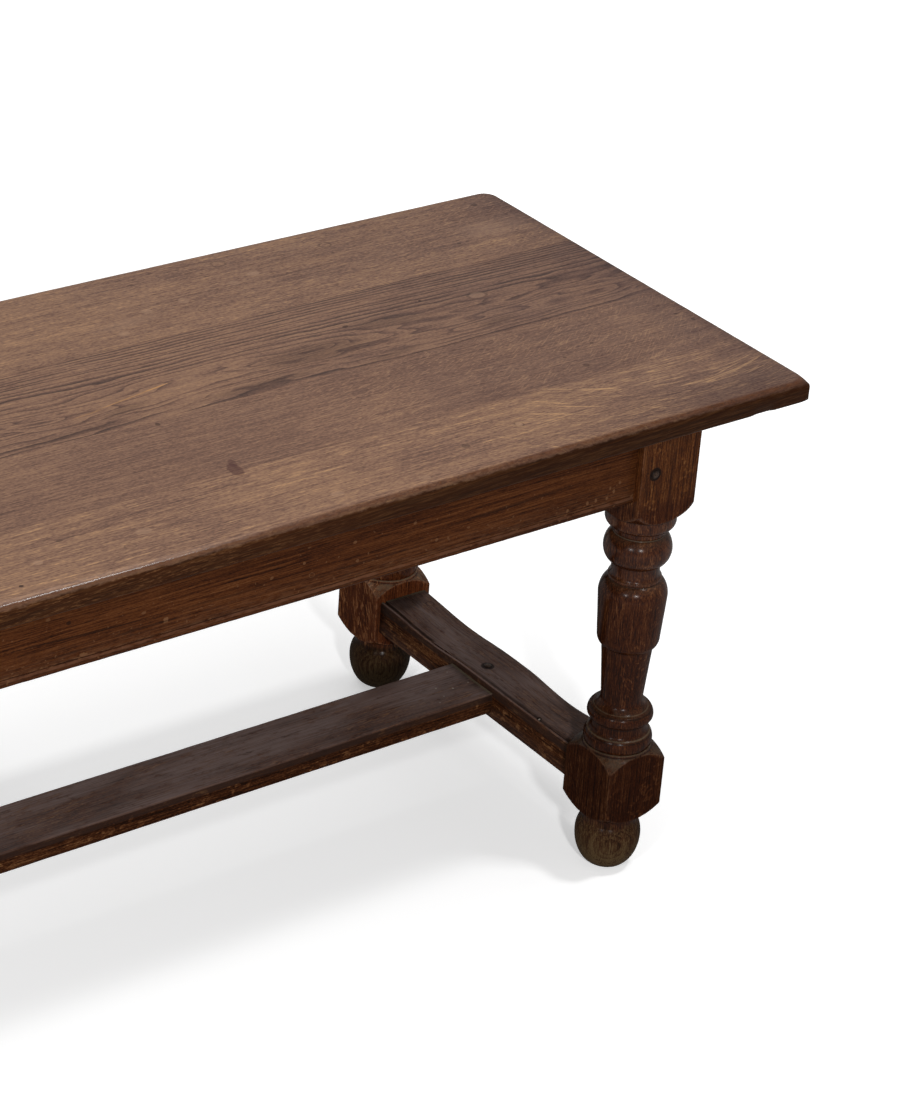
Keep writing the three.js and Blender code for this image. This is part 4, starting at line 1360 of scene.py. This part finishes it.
TOP_STOPS = (
    (0.0, (0.058, 0.036, 0.029)),
    (0.3, (0.116, 0.064, 0.047)),
    (0.5, (0.184, 0.104, 0.069)),
    (0.72, (0.262, 0.151, 0.089)),
    (1.0, (0.410, 0.240, 0.118)),
)
# Painted shade: the top darkens and greys towards its right end, its front right corner and its
# rounded end.
END_PAINTED_SHADE = (0.71, 0.71, 0.77)
CORNER_PAINTED_SHADE = (0.70, 0.70, 0.74)
EDGE_RUBBED = (0.076, 0.028, 0.0118)
EDGE_FACE = (0.035, 0.0115, 0.0042)
EDGE_STREAK = (0.066, 0.0265, 0.0100)
EDGE_FLECK = (0.150, 0.066, 0.027)
EDGE_LINE = (0.012, 0.005, 0.003)

# Changes along the top: from one x to another, and the values there where they aren't 0 and 1
EDGE_TURNS = (-40, 420, -3.6, -3.0)
EDGE_STARTS = (-20, 120, -0.9, -0.2)
EDGE_PITTED = (-40, 200, 0.25, 0.5)
EDGE_FLECKED = (160, -60, 0.15, 0.6)
EDGE_SHADED = (40, 300, 1.0, 0.72)
EDGE_COAT = (-20, 160, 0.16, 0.03)
# The next four place painted shade towards the right end, by the front, by the front right corner and
# on the rounded end.
SHADE_TOWARDS_END = (((200, 480), 0.55), ((545, 606), 0.9))
SHADE_BY_FRONT = (220, 480)
SHADE_BY_CORNER = (400, 585)
SHADE_ON_RIM = (588, 607, 0.0, 0.8)

# Changes across the top in y, and down its edge in z
SHADE_FRONT_STRIP = (-190, -226)
SHADE_CORNER_STRIP = (-160, -222)
POLISHED_FROM = (-0.05, -0.6)
POLISHED_TO = (-3.0, -1.4)
EDGE_FACE_FROM = (-4.0, -6.0)


def edge_finish(n, place, seed):
    """Rubbed, pitted wood on the rounded arris of the top and dark streaked wood on its face."""
    x, y, z = n.parts(place)
    worn = n.noise(place, (9, 6, 3.0), 3.0, 0.7, seed)
    below = n.total(z, n.times(n.centred(worn), 5.0))
    below = n.math("SUBTRACT", below, n.span(x, *EDGE_TURNS))
    start = n.span(x, *EDGE_STARTS)
    on_round = n.times(n.span(z, start, n.math("SUBTRACT", start, 1.1)), n.span(below, -2.0, 1.0))
    pits = n.span(n.noise(place, (4.5, 2.0, 1.6), 2.0, 0.7, seed + 1), 0.50, 0.62)
    n.lay(EDGE_RUBBED, n.times(on_round, n.span(worn, 0.26, 0.60, 1.0, 0.72)))
    n.lay(DARK_STAIN, on_round, pits, n.span(x, *EDGE_PITTED))
    slanted = n.join(x, y, n.weigh(x, -0.035, z))
    streaks = n.noise(slanted, (26, 8, 1.5), 2.0, 0.65, seed + 3)
    face = n.mix(n.span(streaks, 0.42, 0.70), EDGE_FACE, EDGE_STREAK)
    flecks = n.span(n.noise(slanted, (8, 4, 1.0), 2.0, 0.6, seed + 4), 0.55, 0.66)
    face = n.mix(n.times(flecks, n.span(x, *EDGE_FLECKED)), face, EDGE_FLECK)
    lines = n.span(n.noise(slanted, (70, 12, 1.2), 2.0, 0.6, seed + 2), 0.50, 0.62)
    face = n.mix(n.times(lines, 0.5), face, EDGE_LINE)
    # Painted shade: the edge's face darkens towards the right.
    shade = n.span(x, *EDGE_SHADED)
    n.lay(n.multiply(face, n.join(shade, shade, shade)), n.span(below, 1.4, -2.4))


def top_oak(node, i):
    n = material_nodes("top_oak_" + node)
    look = BOARDS[i]
    seed = i * 9 + 1
    place = n.place(shift=(0, 0, TOP_HEIGHT))
    tone, height, pores = grain(n, place, look, seed)
    x, y, z = n.parts(place)
    for k, flecks in enumerate(look["flecks"]):
        lines = ray_flecks(n, place, FLECKS | flecks, seed + 50 + k)
        patchy = n.span(n.noise(place, (70, 40, 40), 1.0, 0.5, seed + 60 + k), 0.36, 0.54)
        there = n.band(x, *flecks["reach"], 50)
        tone = n.weigh(n.times(lines, patchy, there), flecks["tone"], tone)
    n.colour = n.ramp(tone, TOP_STOPS)
    low, high = unit_box(node)
    near = [m for m in MARKS if low.y - MARK_MARGIN < m["at"][1] < high.y + MARK_MARGIN]
    lay_marks(n, place, n.centred(n.noise(place, (5, 3, 3), 2.0, 0.6, 44)), near)
    # Painted shade towards the right end and the front right corner, and on the rounded end.
    towards_end = [n.times(n.span(x, *reach), amount) for reach, amount in SHADE_TOWARDS_END]
    by_front = n.times(n.span(y, *SHADE_FRONT_STRIP), n.span(x, *SHADE_BY_FRONT), 0.5)
    n.tint(n.math("ADD", n.total(*towards_end), by_front, clamp=True), END_PAINTED_SHADE)
    by_corner = n.times(n.span(x, *SHADE_BY_CORNER), n.span(y, *SHADE_CORNER_STRIP))
    n.tint(n.most(by_corner, n.span(x, *SHADE_ON_RIM)), CORNER_PAINTED_SHADE)
    edge_finish(n, place, 55)
    smudge = n.noise(place, (60, 40, 40), 3.0, 0.6, 77)
    roughness = n.weigh(pores, 0.25, n.weigh(n.centred(smudge), 0.3, 0.42))
    polished = n.times(n.span(z, *POLISHED_FROM), n.span(z, *POLISHED_TO))
    coat = n.weigh(polished, n.span(x, *EDGE_COAT), 0.05)
    coat = n.weigh(n.span(z, *EDGE_FACE_FROM), -0.04, coat)
    n.surface(roughness, height, 0.12, 0.015, coat, 0.16)
    return n.owner


LEG_STOPS = (
    (0.0, (0.008, 0.0030, 0.0020)),
    (0.3, (0.022, 0.0062, 0.0030)),
    (0.5, (0.044, 0.0108, 0.0036)),
    (0.75, (0.086, 0.027, 0.0092)),
    (1.0, (0.165, 0.068, 0.028)),
)
BARE_STOPS = (
    (0.2, (0.018, 0.0095, 0.0055)),
    (0.5, (0.080, 0.0345, 0.0155)),
    (0.8, (0.170, 0.108, 0.050)),
)
RUBBED = (0.15, 0.066, 0.033)
DUST = (0.120, 0.084, 0.053)
GROOVE_DUST = (0.175, 0.130, 0.082)
BLOCK_TONE_AND_LIGHT = (1.7, 1.95, 1.7)

# Changes up the leg: from one height to another, and the values there where they aren't 0 and 1
UPPER_BLOCK_FROM = (380, 396)
LOWER_BLOCK_FROM = (50, 58)
LOWER_BLOCK_TO = (126, 146)
FOOT_BARE = (56, 43)
FOOT_WORN = (44, 10, 0.58, 0.86)
LESS_DUSTY = (230, 300, 0.8, 0.35)
# Painted shade: the leg darkens towards the floor over the next heights.
PAINTED_FALLOFF = (60, 440, 0.64, 1.06)
POLISHED_LEG = (280, 305, 0.10, 0.19)

# Dusty grooves of the leg, with painted shade just below each: height, half width and strength
GROOVES = ((130.6, 0.5, 0.3), (143.9, 0.4, 0.55), (155.9, 0.4, 0.45), (168.6, 0.15, 0.65))
SHOULDER = (112, 132)
PEG_HOLE_REACH = 6.6

LEG_LOOK = {
    "lean": (0.003, 0.004), "spacing": 1.7, "wander": 6, "waver": 1.6, "dash": (9, 0.9),
    "rings": 0.26, "pores": 0.30, "pale": 0.16, "lines": 0.24, "speck": 0.5, "thin": 0.7,
    "wide": 0.5, "clouds": 0.4, "shade": 0.04,
}
LEG_FLECKS = FLECKS | {"slope": 0.25, "size": (9, 1.7), "breadth": 0.56}
FOOT_RINGS = {"spacing": 2.6, "waver": 2.4, "pith": (41, -33)}

# One for each leg: front right, back right, front left, back left
LEG_PITHS = ((-53, -59), (41, -33), (-30, 44), (38, 40))
LEG_FLECK_TONES = (0.24, 0.6, 0.2, 0.2)
# Per leg, painted light on the lower block and on the foot, partly also the leg's own paler wood.
LEG_PAINTED_LIGHT = (0.95, 3.1, 1.1, 1.1)
FOOT_PAINTED_LIGHT = (1.0, 0.62, 1.0, 1.0)
FOOT_RING_TONES = (-0.28, -0.08, -0.2, -0.2)


def peg_hole_shade(n, pegs):
    """Painted shade of the holes round the peg heads that sit in this piece: 1 at a head, 0 away from
    it.
    """
    here = n.place()
    shown = 0.0
    for centre in pegs:
        away = n.vector("LENGTH", n.vector("SUBTRACT", here, tuple(centre)))
        shown = n.most(n.span(away, PEG_HOLE_REACH + 0.6, PEG_HOLE_REACH - 0.8), shown)
    return shown


def leg_oak(node, seed, origin):
    n = material_nodes("leg_oak_" + node)
    place = n.place((0, math.pi / 2, 0))
    look = LEG_LOOK | {"pith": LEG_PITHS[seed]}
    plain, height, pores = grain(n, place, look, seed * 9 + 41)
    patchy = n.span(n.noise(place, (46, 22, 22), 1.0, 0.5, seed + 77), 0.42, 0.6)
    flecks = n.times(ray_flecks(n, place, LEG_FLECKS, seed + 78), patchy)
    n.colour = n.ramp(n.weigh(flecks, LEG_FLECK_TONES[seed], plain), LEG_STOPS)
    up = n.parts(n.place())[2]
    hollowness, rub, flat = n.finish_marks()
    blotch = n.noise(place, (9, 6, 6), 3.0, 0.65, seed + 90)
    # The top block is made lighter and more olive: partly its own tone, partly painted light.
    n.tint(n.span(up, *UPPER_BLOCK_FROM), BLOCK_TONE_AND_LIGHT)
    bare = n.span(n.total(up, n.times(n.centred(blotch), 22.0)), *FOOT_BARE)
    rings = figure(n, place, look | FOOT_RINGS, seed * 9 + 41)
    worn_tone = n.weigh(n.centred(plain), 0.8, n.span(up, *FOOT_WORN))
    worn_tone = n.weigh(rings, FOOT_RING_TONES[seed], worn_tone)
    n.lay(n.ramp(worn_tone, BARE_STOPS), bare, 0.88)
    # Painted shade in the hollows of the turning.
    n.lay(GRIME_AND_SHADE, n.span(hollowness, 0.1, 0.45), 0.6)
    settled = n.weigh(n.band(up, *SHOULDER, 2), 0.5, 0.3)
    settled = n.times(n.facing_up(0.25, 0.9), settled, n.math("SUBTRACT", 1.0, flat))
    dusty = n.times(settled, n.span(blotch, 0.25, 0.65), 0.62)
    n.lay(DUST, dusty)
    lined = n.times(n.span(hollowness, 0.5, 0.78), n.span(up, *LESS_DUSTY))
    dark = 0.0
    for level, half, strength in GROOVES:
        lined = n.most(lined, n.times(n.band(up, level - half, level + half, 0.3), strength))
        dark = n.most(n.band(up, level - 2.4, level - 1.2, 0.5), dark)
    # Painted shade just below each groove.
    n.lay(GRIME_AND_SHADE, dark, 0.6)
    n.lay(GROOVE_DUST, lined, n.span(blotch, 0.2, 0.55, 0.4, 0.85))
    speckle = n.noise(place, (5, 1.8, 1.8), 3.0, 0.75, seed + 91)
    n.lay(RUBBED, rub, n.span(speckle, 0.40, 0.60), 0.65)
    # Painted shade in the hole round each peg head.
    n.lay(GRIME_AND_SHADE, peg_hole_shade(n, peg_heads(node, origin)), 0.92)
    # Painted light and shade: each leg's lower block and foot get their own brightness, and the whole
    # leg darkens towards the floor.
    block_painted_light = n.span(up, *LOWER_BLOCK_FROM, FOOT_PAINTED_LIGHT[seed], LEG_PAINTED_LIGHT[seed])
    painted_light_above = n.span(up, *LOWER_BLOCK_TO, 0.0, LEG_PAINTED_LIGHT[seed] - 1.0)
    painted_light = n.span(up, *PAINTED_FALLOFF, smooth=False)
    painted_light = n.times(painted_light, n.math("SUBTRACT", block_painted_light, painted_light_above))
    n.colour = n.multiply(n.colour, n.join(painted_light, painted_light, painted_light))
    roughness = n.weigh(pores, 0.15, n.weigh(dusty, 0.4, 0.42))
    roughness = n.weigh(n.centred(blotch), 0.3, roughness)
    coat = n.weigh(bare, -0.06, n.span(up, *POLISHED_LEG))
    n.surface(roughness, height, 0.14, 0.0, n.times(coat, n.weigh(flat, -0.7, 1.0)), 0.21)
    return n.owner


RAIL_STOPS = (
    (0.0, (0.012, 0.0042, 0.0024)),
    (0.3, (0.038, 0.0110, 0.0040)),
    (0.5, (0.077, 0.0232, 0.0072)),
    (0.75, (0.118, 0.0405, 0.0132)),
    (1.0, (0.185, 0.078, 0.033)),
)
BEAD_HIGHLIGHT = (0.135, 0.060, 0.036)

# Heights on a rail: a painted highlight along the top of its bead, the lip of the quirk, and painted
# shade under the bead
ON_BEAD = (RAIL_BOTTOM + 4.6, RAIL_BOTTOM + 7.0)
ON_LIP = (RAIL_BOTTOM + 8.6, RAIL_BOTTOM + 9.5)
UNDER_BEAD = (RAIL_BOTTOM + 3.6, RAIL_BOTTOM + 4.4)
FOOT_SHADED = (RAIL_BOTTOM + 3.4, RAIL_BOTTOM + 2.0, 0.0, 0.3)
DENTED = (RAIL_BOTTOM + 48, RAIL_BOTTOM + 12)

# Where the lip is rubbed pale along the rail, and where in y the marks of the front face begin
LIP_RUBBED = (40, -120, 0.35, 1.0)
FRONT_FACE = (-190, -195)

# How strong the noise of the dents has to be before one shows
DENT_LEVEL = 0.735

RAIL_LOOK = {
    "pith": (-190, 150), "lean": (0.0, 0.012), "spacing": 2.3, "wander": 16, "waver": 2.5,
    "dash": (16, 1.0), "rings": 0.30, "pores": 0.26, "pale": 0.08, "lines": 0.2, "speck": 0.4,
    "thin": 0.5, "wide": 0.6, "clouds": 0.3, "shade": 0.03,
}


def rail_oak(name, seed):
    n = material_nodes("rail_oak_" + name)
    here = n.place()
    along, across, up = n.parts(here)
    place = n.place((0, 0, math.pi / 2)) if seed else here
    tone, height, pores = grain(n, place, RAIL_LOOK, seed * 9 + 61)
    n.colour = n.ramp(tone, RAIL_STOPS)
    quirk, rub, grime_and_shadow = n.finish_marks()
    blotch = n.noise(place, (12, 3, 3), 3.0, 0.65, seed + 93)
    # Painted highlight along the top of the bead.
    n.lay(BEAD_HIGHLIGHT, n.band(up, *ON_BEAD, 0.6), n.span(blotch, 0.25, 0.6), 0.6)
    lip = n.band(up, *ON_LIP, 0.4)
    n.lay(DENT, lip, n.span(blotch, 0.3, 0.6), n.span(along, *LIP_RUBBED), 0.8)
    # Painted shade under the bead and down to the rail's foot.
    shade_under_bead = n.times(n.band(up, *UNDER_BEAD, 0.4), 0.6)
    n.lay(GRIME_AND_SHADE, n.most(shade_under_bead, n.span(up, *FOOT_SHADED)))
    n.lay(RUBBED, rub, n.span(blotch, 0.38, 0.62), 0.35)
    # Painted shade and dirt in the quirk.
    n.lay(GRIME_AND_SHADE, quirk, n.span(blotch, 0.25, 0.45), 0.45)
    # Dirt at the ends, and painted shadow along the top of the rail under the table top.
    n.lay(GRIME_AND_SHADE, grime_and_shadow, n.span(blotch, 0.3, 0.7), 0.35)
    dents = n.noise(place, (4.2, 3.0, 3.0), 1.0, 0.4, seed + 95)
    least = n.weigh(n.span(up, *DENTED), -0.04, DENT_LEVEL)
    dents = n.span(n.math("SUBTRACT", dents, least), 0.0, 0.03)
    n.lay(DENT, dents, 0.5)
    height = n.weigh(dents, -0.8, height)
    if seed == 0:
        ragged = n.centred(n.noise(place, (2.5, 2.5, 2.5), 2.0, 0.6, 47))
        face = n.join(along, up, 0.0)
        lay_marks(n, face, n.times(ragged, 2.6), RAIL_MARKS, n.span(across, *FRONT_FACE))
    n.surface(n.weigh(pores, 0.2, 0.44), height, 0.12, 0.01, 0.02, 0.2)
    return n.owner


STRETCHER_STOPS = (
    (0.0, (0.010, 0.0045, 0.0030)),
    (0.3, (0.027, 0.0092, 0.0042)),
    (0.5, (0.055, 0.0172, 0.0064)),
    (0.75, (0.108, 0.041, 0.0160)),
    (1.0, (0.210, 0.100, 0.042)),
)
# Pale mauve of the worn upper faces, which also stands in as painted sheen for their reflection.
MAUVE_WEAR_AND_SHEEN = (0.186, 0.130, 0.116)
ARRIS_DARK = (0.034, 0.0185, 0.0140)
JOINT_DUST = (0.115, 0.095, 0.060)
JOINT_REACH = 3.2

STRETCHER_LOOK = {
    "pith": (-20, -70), "lean": (0.0, 0.03), "spacing": 2.6, "wander": 10, "waver": 2.0,
    "dash": (13, 1.1), "rings": 0.2, "pores": 0.26, "pale": 0.24, "lines": 0.2, "speck": 0.8,
    "thin": 0.8, "wide": 0.6, "clouds": 0.7, "shade": 0.02,
}
STRETCHER_FLECKS = FLECKS | {"slope": 0.12, "size": (9, 2.0), "breadth": 0.56}


def stretcher_surface(n, place, seed, peg_shade, joint, top):
    tone, height, pores = grain(n, place, STRETCHER_LOOK, seed * 9 + 71)
    patchy = n.span(n.noise(place, (60, 12, 12), 1.0, 0.5, seed + 96), 0.42, 0.6)
    flecks = n.times(ray_flecks(n, place, STRETCHER_FLECKS, seed + 95), patchy)
    n.colour = n.ramp(n.weigh(flecks, 0.34, tone), STRETCHER_STOPS)
    quirk, rub, near_end = n.finish_marks()
    blotch = n.noise(place, (14, 5, 5), 3.0, 0.65, seed + 97)
    facing = n.facing_up(0.6, 0.95)
    scribed = n.noise(place, (90, 1.5, 1.5), 2.0, 0.6, seed + 98)
    patches = n.noise(place, (120, 30, 30), 2.0, 0.5, seed + 99)
    here = n.place()
    under_top = n.times(n.band(n.parts(here)[2], top - 7.5, top + 5, 1.0), n.span(facing, 0.5, 0.0))
    n.lay(ARRIS_DARK, under_top, n.span(blotch, 0.2, 0.6, 0.5, 0.85))
    # Wear with painted sheen: the faces that look up take the pale mauve for their reflection as well
    # as for wear.
    trodden_and_sheen = n.most(facing, n.times(rub, 0.5))
    trodden_and_sheen = n.times(trodden_and_sheen, n.span(patches, 0.35, 0.6, 0.5, 1.0), n.span(blotch, 0.1, 0.55))
    n.lay(MAUVE_WEAR_AND_SHEEN, trodden_and_sheen, n.span(scribed, 0.36, 0.56, 0.62, 0.97))
    n.lay(RUBBED, rub, n.span(blotch, 0.35, 0.6), 0.22)
    # Painted shade and dirt in the quirk.
    n.lay(GRIME_AND_SHADE, quirk, 0.85)
    n.lay(GRIME_AND_SHADE, n.span(near_end, 0.1, 0.9), n.span(blotch, 0.36, 0.6), 0.5)
    n.lay(JOINT_DUST, joint, facing, 0.75)
    # Painted shade in the hole round each peg head.
    n.lay(GRIME_AND_SHADE, peg_shade, 0.85)
    ragged = n.centred(n.noise(here, (3, 3, 3), 2.0, 0.6, 46))
    lay_marks(n, here, ragged, STRETCHER_MARKS, facing)
    roughness = n.weigh(n.centred(blotch), 0.25, n.weigh(pores, 0.2, 0.34))
    n.surface(roughness, height, 0.12, 0.0, n.weigh(facing, 0.045, 0.02), 0.2)
    return n.owner


def near_joint(n, axis, end):
    """1 next to the joints at both ends of a stretcher that runs along an axis."""
    along = n.math("ABSOLUTE", n.parts(n.place())[axis])
    return n.span(along, end - JOINT_REACH, end - JOINT_REACH / 2)


def cross_oak(nodes):
    n = material_nodes("stretcher_oak_cross")
    heads = [head for node in nodes for head in peg_heads(node, Vector((0, 0, 0)))]
    joint = near_joint(n, 1, END_RAIL_HALF)
    turned = n.place((0, 0, math.pi / 2))
    return stretcher_surface(n, turned, 0, peg_hole_shade(n, heads), joint, CROSS_TOP - FOOT_WEAR)


def centre_oak():
    n = material_nodes("stretcher_oak_centre")
    joint = near_joint(n, 0, CENTRE_HALF)
    return stretcher_surface(n, n.place(), 1, 0.0, joint, unit_box("centre_stretcher")[1].z)


PEG_STOPS = (
    (0.25, (0.006, 0.0035, 0.0028)),
    (0.5, (0.040, 0.0220, 0.0145)),
    (0.8, (0.110, 0.070, 0.050)),
)
BUTTON_STOPS = (
    (0.2, (0.10, 0.062, 0.033)),
    (0.5, (0.195, 0.125, 0.068)),
    (0.8, (0.28, 0.19, 0.11)),
)
STEEL_STOPS = ((0.35, (0.10, 0.085, 0.075)), (0.65, (0.34, 0.33, 0.31)))


def peg_oak():
    n = material_nodes("peg_oak_ends")
    place = n.place()
    fibres = n.noise(place, (1.1, 1.1, 1.1), 3.0, 0.7, 5)
    soot = n.noise(place, (5, 5, 5), 2.0, 0.6, 6)
    n.colour = n.ramp(n.weigh(n.centred(fibres), 0.9, soot), PEG_STOPS)
    x, y, _ = n.parts(place)
    from_axis = n.vector("LENGTH", n.join(x, y, 0.0))
    # Painted shade round the rim of the peg's dome.
    n.lay(GRIME_AND_SHADE, n.span(from_axis, 2.4, 3.7), 0.9)
    n.surface(n.weigh(soot, 0.3, 0.35), n.times(fibres, 0.8), 0.2, 0.02, 0.08, 0.25)
    return n.owner


def button_oak():
    n = material_nodes("button_oak_bare")
    place = n.place()
    streak = n.noise(place, (24, 1.4, 1.4), 3.0, 0.6, 7)
    pores = n.span(n.noise(place, (7, 0.6, 0.6), 2.0, 0.6, 8), 0.55, 0.7)
    n.colour = n.ramp(n.weigh(pores, -0.3, streak), BUTTON_STOPS)
    n.surface(n.weigh(pores, 0.15, 0.62), n.weigh(pores, -0.7, streak), 0.15, 0.3)
    return n.owner


def screw_steel():
    n = material_nodes("screw_steel")
    tarnish = n.noise(n.place(), (2.5, 2.5, 2.5), 3.0, 0.6, 9)
    n.colour = n.ramp(tarnish, STEEL_STOPS)
    shader = n.surface(n.span(tarnish, 0.3, 0.7, 0.62, 0.34), tarnish, 0.05, 0.5)
    shader.inputs["Metallic"].default_value = 1.0
    return n.owner


def seen_rays(n):
    """1 for rays that show the background: from the camera, by reflection or through glass."""
    path = n.add("LightPath").outputs
    seen = n.math("ADD", path["Is Camera Ray"], path["Is Glossy Ray"])
    return n.math("ADD", seen, path["Is Transmission Ray"], clamp=True)


# The floor turns white away from the table, past its shadow: distances in millimetres
FLOOR_NEAR = 800
FLOOR_FAR = 2600
FLOOR_GLOW = 0.4
FLOOR_FAR_GLOW = 0.95
FLOOR_HALF = 8000
FLOOR_DROP = 0.5
FLOOR_LIT = (0.25, 0.25, 0.25)
FLOOR_SEEN = (0.9, 0.9, 0.9)
WORLD_FILL = 0.2


def build_floor():
    n = material_nodes("pale_floor")
    seen = seen_rays(n)
    shader = n.add("BsdfPrincipled")
    n.put(shader.inputs["Base Color"], n.mix(seen, FLOOR_LIT, FLOOR_SEEN))
    shader.inputs["Roughness"].default_value = 0.9
    shader.inputs["Specular IOR Level"].default_value = 0.0
    shader.inputs["Emission Color"].default_value = (1, 1, 1, 1)
    from_table = n.vector("LENGTH", n.place())
    white = n.span(from_table, FLOOR_NEAR, FLOOR_FAR, FLOOR_GLOW, FLOOR_FAR_GLOW)
    n.put(shader.inputs["Emission Strength"], n.times(seen, white))
    n.fill(n.output, shader.outputs[0])
    half = FLOOR_HALF
    points = [(-half, -half, 0), (half, -half, 0), (half, half, 0), (-half, half, 0)]
    floor = mesh_object("studio_floor", points, [(0, 1, 2, 3)])
    floor.location.z = -FLOOR_DROP * MM
    floor.data.materials.append(n.owner)


def build_world():
    world = bpy.data.worlds.new("studio")
    bpy.context.scene.world = world
    n = Nodes(world, "OutputWorld")
    back = n.add("Background")
    level = n.span(seen_rays(n), 0.0, 1.0, WORLD_FILL, 1.0, smooth=False)
    n.fill(n.output, n.fill(back, (1, 1, 1, 1), level))


# Lamps: azimuth from +X towards +Y and elevation in degrees, distance and size in metres, power
LAMPS = {
    "overhead_soft": (100, 78, 2.6, 2.4, 39),
    "left_of_camera": (-148, 25, 3.0, 0.22, 18),
    "right_of_camera": (-113, 25, 3.0, 0.18, 38),
    "right_soft": (-47, 66, 2.66, 0.25, 20),
}
LAMP_AIM = Vector((0.3, 0.0, 0.3))


def build_lights():
    for name, (azimuth, elevation, distance, size, power) in LAMPS.items():
        data = bpy.data.lights.new(name, "AREA")
        data.shape = "SQUARE"
        data.size = size
        data.energy = power
        light = bpy.data.objects.new(name, data)
        bpy.context.scene.collection.objects.link(light)
        a, e = math.radians(azimuth), math.radians(elevation)
        way = Vector((math.cos(a) * math.cos(e), math.sin(a) * math.cos(e), math.sin(e)))
        light.location = LAMP_AIM + way * distance
        light.rotation_euler = way.to_track_quat("Z", "Y").to_euler()


def build_camera():
    data = bpy.data.cameras.new("camera")
    data.sensor_width = SENSOR
    data.lens = FOCAL_PIXELS * SENSOR / FRAME_HEIGHT_PIXELS
    camera = bpy.data.objects.new("camera", data)
    bpy.context.scene.collection.objects.link(camera)
    right = Vector(CAMERA_RIGHT).normalized()
    up = Vector(CAMERA_UP)
    up = (up - right * up.dot(right)).normalized()
    back = right.cross(up)
    turn = Matrix((right, up, back)).transposed().to_4x4()
    camera.matrix_world = Matrix.Translation(CAMERA_PLACE) @ turn
    bpy.context.scene.camera = camera
    bpy.context.scene.view_settings.view_transform = "Standard"


build_camera()
build_world()
build_lights()
build_floor()
build_legs()
build_top()
build_rails()
build_stretchers()
build_pegs()
build_buttons()
